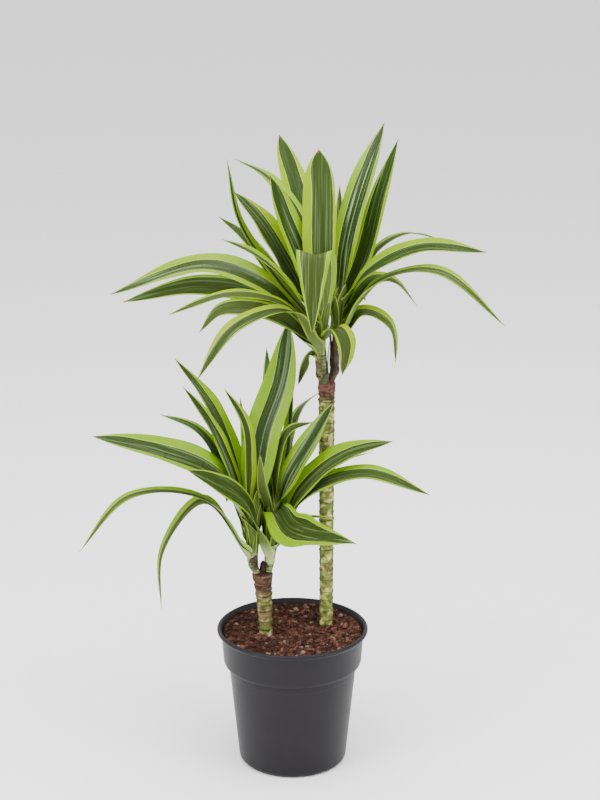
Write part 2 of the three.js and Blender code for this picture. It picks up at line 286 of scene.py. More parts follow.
# %% Pot measurements, in millimetres
POT_HEIGHT = 178
LIP_RADIUS, LIP_HEIGHT = 95, 5.5
COLLAR_TOP, COLLAR_LOW, COLLAR_BOTTOM = 89.5, 87, 132
BODY_TOP, BODY_LOW, WALL = 80.5, 68, 1.8
FOOT_INNER, FOOT_OUTER, DISC_RADIUS, ARCH = 57, 64.5, 28, 2.4
FLOOR_TOP = 4.4
DRAIN_HOLES, DRAIN_RADIUS, DRAIN_RING = 8, 4.5, 43
NOTCHES, NOTCH_WIDTH, NOTCH_TURN = 4, 17, -57


def pot_inside(height):
    if height < COLLAR_BOTTOM:
        return BODY_LOW + (BODY_TOP - BODY_LOW) * height / COLLAR_BOTTOM - WALL
    share = (height - COLLAR_BOTTOM) / (POT_HEIGHT - COLLAR_BOTTOM)
    return COLLAR_LOW + (COLLAR_TOP - COLLAR_LOW) * share - WALL


print("inner radius at the floor and the rim:", round(pot_inside(FLOOR_TOP), 1), pot_inside(POT_HEIGHT))

# %% Pot outline
def rounded(corners, steps=4):
    """Replace each inner corner (radius, height, rounding) by a short arc of points."""
    outline = [corners[0][:2]]
    for before, corner, after in zip(corners, corners[1:], corners[2:]):
        here = Vector(corner[:2])
        towards, away = Vector(before[:2]) - here, Vector(after[:2]) - here
        reach = min(corner[2], 0.45 * towards.length, 0.45 * away.length)
        start, end = here + towards.normalized() * reach, here + away.normalized() * reach
        for step in range(steps + 1):
            share = step / steps
            arc = start * (1 - share) ** 2 + here * 2 * share * (1 - share) + end * share ** 2
            outline.append((arc.x, arc.y))
    outline.append(corners[-1][:2])
    return outline


lip_bottom = POT_HEIGHT - LIP_HEIGHT
pot_corners = [
    (0.01, 0, 0), (DISC_RADIUS, 0, 1), (DISC_RADIUS + ARCH, ARCH, 1), (FOOT_INNER - 1, ARCH, 0.5),
    (FOOT_INNER, 0, 0.6), (FOOT_OUTER, 0, 1.6), (BODY_LOW, 4, 2.5),
    (BODY_TOP - 0.9, COLLAR_BOTTOM - 11, 0.5), (BODY_TOP - 0.6, COLLAR_BOTTOM - 10.2, 0.5),
    (BODY_TOP, COLLAR_BOTTOM - 1, 0.8), (COLLAR_LOW - 1.2, COLLAR_BOTTOM - 0.4, 1.2),
    (COLLAR_LOW, COLLAR_BOTTOM + 3, 1.6), (COLLAR_TOP, lip_bottom - 2, 1.4),
    (LIP_RADIUS - 1.6, lip_bottom - 0.4, 1.6), (LIP_RADIUS, lip_bottom + 1.6, 1.4),
    (LIP_RADIUS, POT_HEIGHT - 1.4, 1.5), (LIP_RADIUS - 1.9, POT_HEIGHT, 1.5),
    (LIP_RADIUS - 3.6, POT_HEIGHT, 1), (LIP_RADIUS - 5, POT_HEIGHT - 1.6, 1),
    (pot_inside(lip_bottom), lip_bottom - 2, 1),
    (pot_inside(COLLAR_BOTTOM + 1), COLLAR_BOTTOM + 1, 0.8),
    (pot_inside(COLLAR_BOTTOM - 1), COLLAR_BOTTOM - 1, 0.8),
    (pot_inside(FLOOR_TOP + 4), FLOOR_TOP + 4, 2),
    (pot_inside(FLOOR_TOP) - 3, FLOOR_TOP, 1), (0.01, FLOOR_TOP, 0),
]
pot_outline = [(radius * MM, height * MM) for radius, height in rounded(pot_corners)]
print("pot outline points:", len(pot_outline))

# %% [markdown]
# The pot's plastic is dark charcoal with a satin sheen. Handling and watering leave faint pale dust
# on it, in soft patches and fine specks, so roughness and colour both follow the same mask.

# %% Pot plastic
POT_CLEAN, POT_DUSTY = (0.007, 0.006, 0.0074), (0.0155, 0.0138, 0.0158)


def add_bump(tree, shader, height, depth):
    bump = add_node(tree, "ShaderNodeBump", {"Strength": 1.0, "Distance": depth})
    tree.links.new(height, bump.inputs["Height"])
    tree.links.new(bump.outputs["Normal"], shader.inputs["Normal"])


def make_pot_plastic():
    material, tree, shader = new_material("pot_plastic", 0.42, Specular_IOR_Level=0.16)
    haze = place_group(tree, PATCHES, Scale=14.0, Variant=1.0, Coverage=0.5, Softness=0.3)
    specks = place_group(tree, PATCHES, Scale=420.0, Variant=2.0, Coverage=0.3, Softness=0.06)
    dust = calc(tree, "MULTIPLY", haze.outputs["Mask"], 0.35)
    dust = calc(tree, "ADD", dust, calc(tree, "MULTIPLY", specks.outputs["Mask"], 0.25))
    colour = blend_colour(tree, dust, POT_CLEAN, POT_DUSTY)
    tree.links.new(colour, shader.inputs["Base Color"])
    tree.links.new(calc(tree, "MULTIPLY_ADD", dust, 0.2, 0.4), shader.inputs["Roughness"])
    grain = place_group(tree, GRAIN, Scale=1400.0, Variant=0.0, Fine_share=0.4)
    add_bump(tree, shader, grain.outputs["Height"], 0.00006)
    return material


pot_plastic = make_pot_plastic()
print("material:", pot_plastic.name)

# %% Turn the pot
POT_SIDES = 160


def turned_mesh(outline, sides):
    """Points and faces of an outline of (radius, height) turned about the upright axis."""
    points, faces = [], []
    for radius, height in outline:
        for side in range(sides):
            turn = 2 * math.pi * side / sides
            points.append(Vector((radius * math.cos(turn), radius * math.sin(turn), height)))
    rings = len(outline)
    for ring in range(rings - 1):
        for side in range(sides):
            beside = (side + 1) % sides
            faces.append((ring * sides + side, ring * sides + beside,
                          (ring + 1) * sides + beside, (ring + 1) * sides + side))
    return points, faces


pot = new_piece("nursery_pot", *turned_mesh(pot_outline, POT_SIDES), pot_plastic)
form = bmesh.new()
form.from_mesh(pot.data)
bmesh.ops.holes_fill(form, edges=form.edges)
bmesh.ops.recalc_face_normals(form, faces=form.faces)
form.to_mesh(pot.data)
form.free()
print("pot faces before the cuts:", len(pot.data.polygons))

# %% Cut the drain holes
DRILL_SIDES = 20
DRILL_HEIGHTS = (-10, 20)  # from under the ground to above the pot's floor


def cutter(name, points, faces):
    tool = new_piece(name, points, faces, pot_plastic)
    box = bmesh.new()
    box.from_mesh(tool.data)
    bmesh.ops.contextual_create(box, geom=[edge for edge in box.edges if edge.is_boundary])
    bmesh.ops.recalc_face_normals(box, faces=box.faces)
    box.to_mesh(tool.data)
    box.free()
    return tool


def cut(piece, tool):
    change = piece.modifiers.new("cut", "BOOLEAN")
    change.object = tool
    change.operation = "DIFFERENCE"
    change.solver = "EXACT"
    with bpy.context.temp_override(object=piece, active_object=piece, selected_objects=[piece]):
        bpy.ops.object.modifier_apply(modifier=change.name)
    bpy.data.objects.remove(tool)


for hole in range(DRAIN_HOLES):
    turn = 2 * math.pi * (hole + 0.5) / DRAIN_HOLES
    drill_outline = [(DRAIN_RADIUS * MM, height * MM) for height in DRILL_HEIGHTS]
    points, faces = turned_mesh(drill_outline, DRILL_SIDES)
    shift = Vector((math.cos(turn), math.sin(turn), 0)) * DRAIN_RING * MM
    cut(pot, cutter("drain_cutter", [point + shift for point in points], faces))
print("faces with the drain holes:", len(pot.data.polygons))

# %% Cut the notches and smooth the pot
NOTCH_OVERHANG = 3
notch_reach = BODY_LOW - FOOT_INNER + 2 * NOTCH_OVERHANG
for notch in range(NOTCHES):
    turn = Matrix.Rotation(math.radians(NOTCH_TURN + 360 * notch / NOTCHES), 3, "Z")
    box = bmesh.new()
    bmesh.ops.create_cube(box, size=1)
    for corner in box.verts:
        corner.co = Vector((FOOT_INNER - NOTCH_OVERHANG + notch_reach * (corner.co.x + 0.5),
                            NOTCH_WIDTH * corner.co.y, 2 * ARCH * corner.co.z)) * MM
        corner.co = turn @ corner.co
    tool = new_piece("notch_cutter", [], [], pot_plastic)
    box.to_mesh(tool.data)
    box.free()
    cut(pot, tool)
pot.data.polygons.foreach_set("use_smooth", [True] * len(pot.data.polygons))
with bpy.context.temp_override(object=pot, active_object=pot, selected_editable_objects=[pot]):
    bpy.ops.object.shade_smooth_by_angle(angle=math.radians(35))
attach(pot, "root")
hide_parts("pot")
print("pot faces:", len(pot.data.polygons))

# %% [markdown]
# ## The soil
# The fill is red-brown coir and peat. From above it reads as crumbs, chips and short fibres with dark
# gaps between them, so a bumpy surface alone would look like clay. One finely divided disc carries
# the swells and dips. Nearly two thousand irregular crumbs and some fibres lie on it as real meshes.
# Numbers that are stored on the points tell the shader where to darken: spots of painted shade on the
# disc, and crumbs that are darker.

# %% Soil colours
SOIL_DARK, SOIL_LIGHT, SOIL_PALE = (0.018, 0.0065, 0.004), (0.078, 0.029, 0.018), (0.26, 0.15, 0.1)
SOIL_DARK_PATCH, PAINTED_SHADE_AND_DARK_TONE, BLEACHED = (0.012, 0.005, 0.003), (0.006, 0.003, 0.002), (0.6, 0.46, 0.36)


def read_number(tree, name):
    return add_node(tree, "ShaderNodeAttribute", attribute_name=name).outputs["Fac"]


def make_soil_finish(name, dark, light, pale, pale_share):
    material, tree, shader = new_material(name, 0.93, Specular_IOR_Level=0.1)
    chunks = place_group(tree, PATCHES, Scale=170.0, Variant=4.0, Coverage=0.5, Softness=0.18)
    bits = place_group(tree, PATCHES, Scale=520.0, Variant=5.0, Coverage=pale_share, Softness=0.02)
    colour = blend_colour(tree, chunks.outputs["Mask"], dark, light)
    # Broad random patches darken the soil.
    dark_patches = place_group(tree, PATCHES, Scale=20.0, Variant=7.0, Coverage=0.44, Softness=0.12)
    dark_patch_share = calc(tree, "MULTIPLY", dark_patches.outputs["Mask"], 0.72)
    colour = blend_colour(tree, dark_patch_share, colour, SOIL_DARK_PATCH)
    # The number called shade blends towards near black: painted shade in hollows on the soil disc, and
    # the crumbs' and fibres' own darker tone.
    colour = blend_colour(tree, read_number(tree, "shade"), colour, PAINTED_SHADE_AND_DARK_TONE)
    colour = blend_colour(tree, bits.outputs["Mask"], colour, pale)
    colour = blend_colour(tree, read_number(tree, "bleached"), colour, BLEACHED)
    tree.links.new(colour, shader.inputs["Base Color"])
    grain = place_group(tree, GRAIN, Scale=620.0, Variant=2.0, Fine_share=0.7)
    add_bump(tree, shader, grain.outputs["Height"], 0.0006)
    return material


soil_finish = make_soil_finish("potting_soil", SOIL_DARK, SOIL_LIGHT, SOIL_PALE, 0.27)
print("material:", soil_finish.name)

# %% How high the soil is
SOIL_EDGE = 172
SOIL_UNEVEN, SOIL_DIP, SOIL_LUMPS = 2.2, 3, 1.3
LEVEL_FROM = 86  # radius from which the surface is level
SOIL_RADIUS = pot_inside(SOIL_EDGE) - 0.3
SOIL_BURIED = ((SOIL_RADIUS - 0.4, 165), (BODY_TOP - WALL - 1, 128), (BODY_LOW - WALL - 2, 5))


def soil_height(x, y):
    """Height of the soil at a place, all in millimetres."""
    share = 1 - min(1, math.hypot(x, y) / LEVEL_FROM) ** 4
    swell = math.sin(x / 13 + 0.6) * math.cos(y / 16) - 0.8 * math.cos(x / 29) * math.cos(y / 25 - 0.5)
    lumps = noise.noise(Vector((x, y, 3.0)) / 9) + 0.6 * noise.noise(Vector((x, y, 8.0)) / 3.6)
    lump_share = min(1, 2 * share + 0.4)
    return SOIL_EDGE + share * (SOIL_UNEVEN * swell - SOIL_DIP) + SOIL_LUMPS * lumps * lump_share


print("soil at the middle and the edge:", [round(soil_height(x, 0), 1) for x in (0, SOIL_RADIUS)])

# %% Soil surface
SOIL_RINGS, SOIL_SIDES = 90, 240


def store(piece, name, values):
    attribute = piece.data.attributes.new(name, "FLOAT", "POINT")
    attribute.data.foreach_set("value", [float(value) for value in values])


soil_points = [Vector((0, 0, soil_height(0, 0))) * MM]
soil_faces = []
for ring in range(1, SOIL_RINGS + 1):
    radius = SOIL_RADIUS * ring / SOIL_RINGS
    for side in range(SOIL_SIDES):
        turn = 2 * math.pi * side / SOIL_SIDES
        x, y = radius * math.cos(turn), radius * math.sin(turn)
        soil_points.append(Vector((x, y, soil_height(x, y))) * MM)
for radius, height in SOIL_BURIED:
    for side in range(SOIL_SIDES):
        turn = 2 * math.pi * side / SOIL_SIDES
        soil_points.append(Vector((radius * math.cos(turn), radius * math.sin(turn), height)) * MM)
bands = SOIL_RINGS + len(SOIL_BURIED) - 1
for side in range(SOIL_SIDES):
    beside = (side + 1) % SOIL_SIDES
    soil_faces.append((0, 1 + side, 1 + beside))
    for ring in range(bands):
        inner, outer = 1 + ring * SOIL_SIDES, 1 + (ring + 1) * SOIL_SIDES
        soil_faces.append((inner + side, outer + side, outer + beside, inner + beside))
last_ring = 1 + bands * SOIL_SIDES
soil_faces.append([last_ring + side for side in reversed(range(SOIL_SIDES))])
soil = new_piece("soil_fill", soil_points, soil_faces, soil_finish)
# Noise marks spots of painted shade, as if in hollows between crumbs, which the shader darkens on the
# disc.
painted_hollow_shade = [min(1, 1.6 * max(0, -noise.noise(point / MM / 5.0))) for point in soil_points]
store(soil, "shade", painted_hollow_shade)
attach(soil, "root")
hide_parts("soil")
print("soil points:", len(soil_points))

# %% [markdown]
# Each crumb is a small ball with its corners pushed in and out at random and squashed a little, sunk
# by a third into the soil. Sizes follow a real mix: many grains of 1 to 3 mm and a few longer chips.
# The draw is seeded, so the bed looks the same each time.

# %% Free places on the soil
TALL_CANE_SPOT, SHORT_CANE_SPOT = (42.8, 29.5), (-33.5, 2)
CANE_CLEARANCE, WALL_CLEARANCE = 10.5, 2.5


def free_place(draw):
    """A random place on the soil that isn't inside a cane."""
    while True:
        radius = (SOIL_RADIUS - WALL_CLEARANCE) * math.sqrt(draw.random())
        turn = 2 * math.pi * draw.random()
        x, y = radius * math.cos(turn), radius * math.sin(turn)
        if all(math.dist((x, y), spot) > CANE_CLEARANCE for spot in (TALL_CANE_SPOT, SHORT_CANE_SPOT)):
            return x, y


print("soil is kept free round each cane for:", CANE_CLEARANCE)

# %% One crumb
CRUMB_LEAST, CRUMB_SPREAD, CRUMB_SKEW = 0.6, 2.9, 2.8
FINE_CRUMB = 1.6  # below this size a coarser ball will do
WHITE_CHANCE, TAN_CHANCE, TAN_STRENGTH = 0.006, 0.1, 0.22


def crumb_paleness(draw, size):
    """A rare small grain is white, some chips are a little tan, and the rest keep their colour."""
    if draw.random() < WHITE_CHANCE and size < 1:
        return 1
    return TAN_STRENGTH * draw.random() if draw.random() < TAN_CHANCE else 0


def add_crumb(draw, points, faces, shades, bleached):
    x, y = free_place(draw)
    size = CRUMB_LEAST + CRUMB_SPREAD * draw.random() ** CRUMB_SKEW
    ball = bmesh.new()
    bmesh.ops.create_icosphere(ball, subdivisions=1 if size < FINE_CRUMB else 2, radius=1)
    turn = Matrix.Rotation(draw.uniform(0, 6.28), 3, "Z")
    turn = turn @ Matrix.Rotation(draw.uniform(-0.6, 0.6), 3, "X")
    stretch = Vector((draw.uniform(0.8, 1.7), draw.uniform(0.6, 1.1), draw.uniform(0.45, 0.9))) * size
    shift = Vector((x, y, soil_height(x, y) + 0.25 * size))
    first, shade = len(points), draw.random() ** 2 * 0.9
    bleach = crumb_paleness(draw, size)
    for corner in ball.verts:
        knock = 1 + 0.34 * noise.noise(corner.co * 1.7 + shift)
        points.append((turn @ (corner.co * knock * stretch) + shift) * MM)
        shades.append(shade if bleach < 1 else 0)
        bleached.append(bleach)
    faces.extend([first + corner.index for corner in face.verts] for face in ball.faces)
    ball.free()


print("crumb radius in mm:", CRUMB_LEAST, "to", CRUMB_LEAST + CRUMB_SPREAD)

# %% One fibre
FIBRE_STEPS, FIBRE_SIDES = 8, 5
FIBRE_LIFT, FIBRE_ARCH, FIBRE_SHADE = 0.5, 1.2, 0.1


def add_fibre(draw, points, faces, shades):
    x, y = free_place(draw)
    heading, bend, length = draw.uniform(0, 6.28), draw.uniform(-0.25, 0.25), draw.uniform(7, 20)
    steps, sides, radius = FIBRE_STEPS, FIBRE_SIDES, draw.uniform(0.16, 0.34)
    for step in range(steps):
        place = Vector((x, y, 0))
        place.z = soil_height(x, y) + FIBRE_LIFT + FIBRE_ARCH * math.sin(math.pi * step / (steps - 1))
        sideways = Vector((-math.sin(heading), math.cos(heading), 0))
        for side in range(sides):
            turn = 2 * math.pi * side / sides
            around = sideways * math.cos(turn) + Vector((0, 0, math.sin(turn)))
            points.append((place + around * radius) * MM)
            shades.append(FIBRE_SHADE)
            if step:
                corner = len(points) - 1
                beside = corner + 1 if side < sides - 1 else corner + 1 - sides
                faces.append((corner - sides, beside - sides, beside, corner))
        x += math.cos(heading) * length / steps
        y += math.sin(heading) * length / steps
        if math.hypot(x, y) > SOIL_RADIUS - 1.5:
            heading += math.pi / 2
        heading += bend
    first = len(points) - sides * steps
    faces.append([first + side for side in reversed(range(sides))])
    faces.append([len(points) - sides + side for side in range(sides)])


print("faces of a fibre:", (FIBRE_STEPS - 1) * FIBRE_SIDES + 2)

# %% Strew the crumbs and fibres
CRUMBS, FIBRES, BED_SEED = 1900, 90, 7
CRUMB_DARK, CRUMB_LIGHT = (0.04, 0.014, 0.009), (0.15, 0.064, 0.042)
FIBRE_DARK, FIBRE_LIGHT = (0.07, 0.03, 0.016), (0.15, 0.075, 0.04)
draw = random.Random(BED_SEED)
crumb_points, crumb_faces, crumb_shades, crumb_bleaches = [], [], [], []
for crumb in range(CRUMBS):
    add_crumb(draw, crumb_points, crumb_faces, crumb_shades, crumb_bleaches)
crumb_finish = make_soil_finish("soil_crumbs", CRUMB_DARK, CRUMB_LIGHT, SOIL_PALE, 0.32)
crumbs = new_piece("soil_crumbs", crumb_points, crumb_faces, crumb_finish, smooth=False)
store(crumbs, "shade", crumb_shades)
store(crumbs, "bleached", crumb_bleaches)
fibre_points, fibre_faces, fibre_shades = [], [], []
for fibre in range(FIBRES):
    add_fibre(draw, fibre_points, fibre_faces, fibre_shades)
fibre_finish = make_soil_finish("coir_fibres", FIBRE_DARK, FIBRE_LIGHT, SOIL_PALE, 0.2)
fibres = new_piece("coir_fibres", fibre_points, fibre_faces, fibre_finish)
store(fibres, "shade", fibre_shades)
for piece in (crumbs, fibres):
    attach(piece, "root")
    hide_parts("soil")
print("crumb faces:", len(crumb_faces), "fibre faces:", len(fibre_faces))

# %% [markdown]
# ## The canes
# A cane is a bare stem. Every leaf that it once carried has left a thin brown ring, slightly raised
# and never quite level. Between the rings the bark is a patchwork of tan, cream and grey-green. Near
# the top it is crusted brown, and at the cut it swells into a corky knob that the shoots grow from.
# The rings are shape: the radius rises at each one. The same heights are stored on the points as a
# number called scar, so that the brown colour sits exactly on the ridges.

# %% Cane measurements, in millimetres
CANES = {
    "tall_cane": dict(spot=TALL_CANE_SPOT, lean=(-0.6, -1), knob=479, top=490, root=8.6, upper=9.8,
                      knob_radius=11.2, first=176, pitch=13.2, drift=3.6, crust=15, pink=0.95,
                      warm=0.0),
    "short_cane": dict(spot=SHORT_CANE_SPOT, lean=(-4, -1.8), knob=240, top=250, root=8.4, upper=10.8,
                       knob_radius=13.2, first=175, pitch=11.5, drift=2.4, crust=24, pink=0.2,
                       warm=0.85),
}
CANE_LOW = 160  # lowest level that is made, hidden in the soil
SCAR_RIDGE, SCAR_HALF, SCAR_REACH, DOME = 0.9, 1.25, 7, 3
GROOVE_DEPTH, GROOVE_ABOVE, GROOVE_HALF = 0.35, 3, 2.5
KNOB_RINGS = (-5, 0, 5, 10)  # more scars, counted down from where the knob starts
SCAR_DRIFT_STEP = 2.3  # radians by which the drift in the spacing runs on from ring to ring


def smoothstep(value, start, end):
    share = min(1, max(0, (value - start) / (end - start)))
    return share * share * (3 - 2 * share)


def mix(first, second, share):
    return first + (second - first) * share


def scar_heights(cane):
    heights, height = [], cane["first"]
    while height < cane["knob"] - 3:
        heights.append(height)
        height += cane["pitch"] + cane["drift"] * math.sin((len(heights) - 1) * SCAR_DRIFT_STEP)
    return heights


print("rings on each cane:", {name: len(scar_heights(cane)) for name, cane in CANES.items()})

# %% Bark
TAN, WARM_TAN, GREEN_BARK = (0.15, 0.13, 0.04), (0.2, 0.12, 0.06), (0.1, 0.14, 0.018)
CREAM, WARM_CREAM, BROWN_BARK = (0.6, 0.64, 0.17), (0.64, 0.48, 0.27), (0.05, 0.03, 0.011)
FLANK_SHADE_PAINT, SCAR_AND_PAINTED_SHADE = (0.035, 0.024, 0.01), (0.014, 0.007, 0.004)
CRUST_LIGHT, CRUST_DARK = (0.07, 0.027, 0.015), (0.02, 0.008, 0.004)
KNOB_PINK, KNOB_DARK = (0.1, 0.036, 0.026), (0.03, 0.012, 0.008)


def make_bark():
    material, tree, shader = new_material("cane_bark", 0.72, Specular_IOR_Level=0.2)
    green = place_group(tree, PATCHES, Scale=60.0, Variant=1.5, Coverage=0.56, Softness=0.18)
    cream = place_group(tree, PATCHES, Scale=90.0, Variant=6.0, Coverage=0.43, Softness=0.11)
    brown = place_group(tree, PATCHES, Scale=170.0, Variant=9.0, Coverage=0.45, Softness=0.09)
    warm = read_number(tree, "warm")
    tan = blend_colour(tree, warm, TAN, WARM_TAN)
    colour = blend_colour(tree, green.outputs["Mask"], tan, GREEN_BARK)
    pale = blend_colour(tree, warm, CREAM, WARM_CREAM)
    faint_cream = calc(tree, "MULTIPLY", cream.outputs["Mask"], 0.85)
    colour = blend_colour(tree, faint_cream, colour, pale)
    faint_brown = calc(tree, "MULTIPLY", brown.outputs["Mask"], 0.75)
    colour = blend_colour(tree, faint_brown, colour, BROWN_BARK)
    # The sides of the cane that face left and right, as the camera sees them, turn dark brown: painted
    # shade on its flanks.
    colour = blend_colour(tree, read_number(tree, "painted_flank_shade"), colour, FLANK_SHADE_PAINT)
    crust = blend_colour(tree, brown.outputs["Mask"], CRUST_LIGHT, CRUST_DARK)
    colour = blend_colour(tree, read_number(tree, "crust"), colour, crust)
    # This dark brown marks the real scar rings, and it is also painted shade on the cane's top and on
    # its stub.
    colour = blend_colour(tree, read_number(tree, "scar"), colour, SCAR_AND_PAINTED_SHADE)
    knob = blend_colour(tree, brown.outputs["Mask"], KNOB_PINK, KNOB_DARK)
    colour = blend_colour(tree, read_number(tree, "knob"), colour, knob)
    tree.links.new(colour, shader.inputs["Base Color"])
    grain = place_group(tree, GRAIN, Scale=260.0, Variant=3.0, Fine_share=0.5)
    add_bump(tree, shader, grain.outputs["Height"], 0.0007)
    return material


cane_bark = make_bark()
print("material:", cane_bark.name)

# %% Middle line and rings of a cane
def cane_axis(cane, level):
    """Middle of the cane at a level, in millimetres. It leans more, the higher it is."""
    share = max(0, level - SOIL_EDGE) / (cane["top"] - SOIL_EDGE)
    x, y = (start + share * lean for start, lean in zip(cane["spot"], cane["lean"]))
    return Vector((x, y, level))


def ring_relief(level, turn, scars):
    """How much scar a point shows, and how far the rings near it lift it out of the cane."""
    shown, lift = 0, 0
    for height, tilt, heading, strength in scars:
        wobble = 0.5 * noise.noise(Vector((math.cos(turn), math.sin(turn), height)) * 2)
        gap = level - height - tilt * math.cos(turn - heading) - wobble
        if abs(gap) < SCAR_REACH:
            shown = max(shown, strength * math.exp(-(gap / (0.6 * SCAR_HALF)) ** 2))
            lift += SCAR_RIDGE * strength * math.exp(-(gap / SCAR_HALF) ** 2)
            lift -= GROOVE_DEPTH * math.exp(-((gap - GROOVE_ABOVE) / GROOVE_HALF) ** 2)
    return shown, lift


print("middle of each cane's top:", {name: [round(value) for value in cane_axis(cane, cane["top"])]
                                    for name, cane in CANES.items()})

# %% Points of a cane
CANE_SIDES, CANE_STEP = 48, 0.9


def cane_rings(cane, draw):
    """The points of every level, and how much of each kind of bark every one of them shows."""
    heights = scar_heights(cane) + [cane["knob"] - down for down in KNOB_RINGS]
    scars = [(height, draw.uniform(-1.4, 1.4), draw.uniform(0, 6.28), draw.uniform(0.5, 1.2))
             for height in heights]
    levels = np.arange(CANE_LOW, cane["top"] + DOME, CANE_STEP)
    points, scar_mask, crust_mask, knob_mask, painted_flank_shade_mask = [], [], [], [], []
    for level in levels:
        axis = cane_axis(cane, level)
        for side in range(CANE_SIDES):
            turn = 2 * math.pi * side / CANE_SIDES
            scar, lift = ring_relief(level, turn, scars)
            radius = mix(cane["root"], cane["upper"], smoothstep(level, SOIL_EDGE, cane["knob"])) + lift
            uneven = 5 * noise.noise(Vector((math.cos(turn), math.sin(turn), cane["spot"][0])) * 1.7)
            swell = smoothstep(level + uneven, cane["knob"] - 6, cane["knob"] + 7)
            crust_low, crust_high = cane["knob"] - cane["crust"], cane["knob"] - 0.4 * cane["crust"]
            crust = smoothstep(level + uneven, crust_low, crust_high)
            radius = mix(radius, cane["knob_radius"] - 0.3, swell)
            where = Vector((math.cos(turn), math.sin(turn), level / 9))
            radius += (0.35 + 1.1 * swell) * noise.noise(where * 1.6 + Vector((cane["spot"][0], 0, 0)))
            edge = max(0, level - cane["top"] + 2) / (DOME + 2)
            radius *= math.sqrt(max(0.02, 1 - edge ** 2))
            points.append((axis + Vector((math.cos(turn), math.sin(turn), 0)) * radius) * MM)
            # Darker towards the sides that face left and right: painted shade on the flanks.
            painted_flank_shade = smoothstep(abs(math.cos(turn)) + 0.3 * noise.noise(where * 1.3), 0.72, 1.02)
            painted_flank_shade_mask.append(0.8 * painted_flank_shade)
            # The scar number also darkens the last 2 mm under the top: painted shade in the crevice
            # between the shoots.
            scar_mask.append(min(1, max(scar, smoothstep(level, cane["top"] - 2, cane["top"]))))
            crust_mask.append(0.85 * crust)
            knob_mask.append(swell * cane["pink"])
    masks = {"scar": scar_mask, "crust": crust_mask, "knob": knob_mask, "painted_flank_shade": painted_flank_shade_mask,
             "warm": [cane["warm"]] * len(points)}
    return levels, points, masks


print("a ring of", CANE_SIDES, "points every", CANE_STEP, "mm")

# %% Cane meshes
def make_cane(name, cane, draw):
    levels, points, masks = cane_rings(cane, draw)
    faces = []
    for ring in range(len(levels) - 1):
        for side in range(CANE_SIDES):
            beside = (side + 1) % CANE_SIDES
            low, high = ring * CANE_SIDES, (ring + 1) * CANE_SIDES
            faces.append((low + side, low + beside, high + beside, high + side))
    faces.append([side for side in reversed(range(CANE_SIDES))])
    faces.append([len(points) - CANE_SIDES + side for side in range(CANE_SIDES)])
    piece = new_piece(name + "_bark", points, faces, cane_bark)
    for fact, values in masks.items():
        store(piece, fact, values)
    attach(piece, "root")
    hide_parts(name)
    print(name, "rings of points:", len(levels), "scars:", len(scar_heights(cane)))


for name, cane in CANES.items():
    make_cane(name, cane, random.Random(name))

# %% [markdown]
# Between each pair of shoots stands what is left of the cane's own dried tip: a shrunken stub, dark
# brown of its own and darker still with painted shade of the gap between the shoots.
# It is turned like the pot and then pushed out of round by noise, which costs far less than sculpting.

# %% Dried stubs
STUB_OUTLINE = ((0.01, -3), (1.0, -3), (0.96, 0.35), (0.75, 0.85), (0.3, 1.0), (0.01, 0.97))
# radius, height and shift to the right
STUB_SIZES = {"tall_cane": (3.4, 11, 0), "short_cane": (4.6, 15, 0.6)}
STUB_SIDES, STUB_LUMPS = 24, 0.22
for name, (wide, high, shift) in STUB_SIZES.items():
    stub_outline = [(wide * out, high * up if up > 0 else up) for out, up in STUB_OUTLINE]
    points, faces = turned_mesh(stub_outline, STUB_SIDES)
    centre = cane_axis(CANES[name], CANES[name]["top"]) + Vector((shift, 0, 0))
    lumpy = [(point * (1 + STUB_LUMPS * noise.noise(point / 4)) + centre) * MM for point in points]
    stub = new_piece(name + "_stub", lumpy, faces, cane_bark)
    # Scar and crust colours darken the stub almost to black: partly the dried tip's own brown, partly
    # painted shade of the gap between the shoots.
    store(stub, "scar", [0.95] * len(points))
    store(stub, "crust", [1] * len(points))
    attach(stub, "root")
    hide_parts(name)
print("stubs on:", ", ".join(STUB_SIZES))

# %% [markdown]
# One sleeping bud sits on the tall cane, under a ring: a yellow-green oval, pressed flat to the bark.
# A ball that is stretched and drawn in towards its tip is enough for a shape of this size. It is a half
# circle, turned like the pot and closed at both ends, so its points come in the same order each run.

# %% A sleeping bud
BUD_GREEN, BUD_YELLOW = (0.2, 0.24, 0.03), (0.34, 0.36, 0.1)


def make_bud_skin():
    material, tree, shader = new_material("bud_skin", 0.5, Specular_IOR_Level=0.3)
    blotch = place_group(tree, PATCHES, Scale=300.0, Variant=5.0, Coverage=0.5, Softness=0.2)
    colour = blend_colour(tree, blotch.outputs["Mask"], BUD_GREEN, BUD_YELLOW)
    tree.links.new(colour, shader.inputs["Base Color"])
    return material


BUD_HEIGHT, BUD_TURN, BUD_OUT, BUD_TAPER = 421, math.radians(-62), 9.6, 0.25
BUD_SIZE = Vector((1.6, 3.6, 6.2))
BUD_RINGS, BUD_SIDES = 16, 24
bud_foot = cane_axis(CANES["tall_cane"], BUD_HEIGHT)
bud_foot += BUD_OUT * Vector((math.cos(BUD_TURN), math.sin(BUD_TURN), 0))
half_circle = [math.pi * ring / BUD_RINGS for ring in range(1, BUD_RINGS)]
ball, bud_faces = turned_mesh([(math.sin(up), -math.cos(up)) for up in half_circle], BUD_SIDES)
low_end, high_end, top_ring = len(ball), len(ball) + 1, len(ball) - BUD_SIDES
for side in range(BUD_SIDES):
    beside = (side + 1) % BUD_SIDES
    bud_faces += [(low_end, beside, side), (high_end, top_ring + side, top_ring + beside)]
turned = Matrix.Rotation(BUD_TURN, 3, "Z")
bud_points = []
for point in [*ball, Vector((0, 0, -1)), Vector((0, 0, 1))]:
    tapered = point * BUD_SIZE * (1 - BUD_TAPER * point.z)
    bud_points.append((turned @ tapered + bud_foot) * MM)
bud = new_piece("cane_bud", bud_points, bud_faces, make_bud_skin())
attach(bud, "root")
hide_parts("tall_cane")
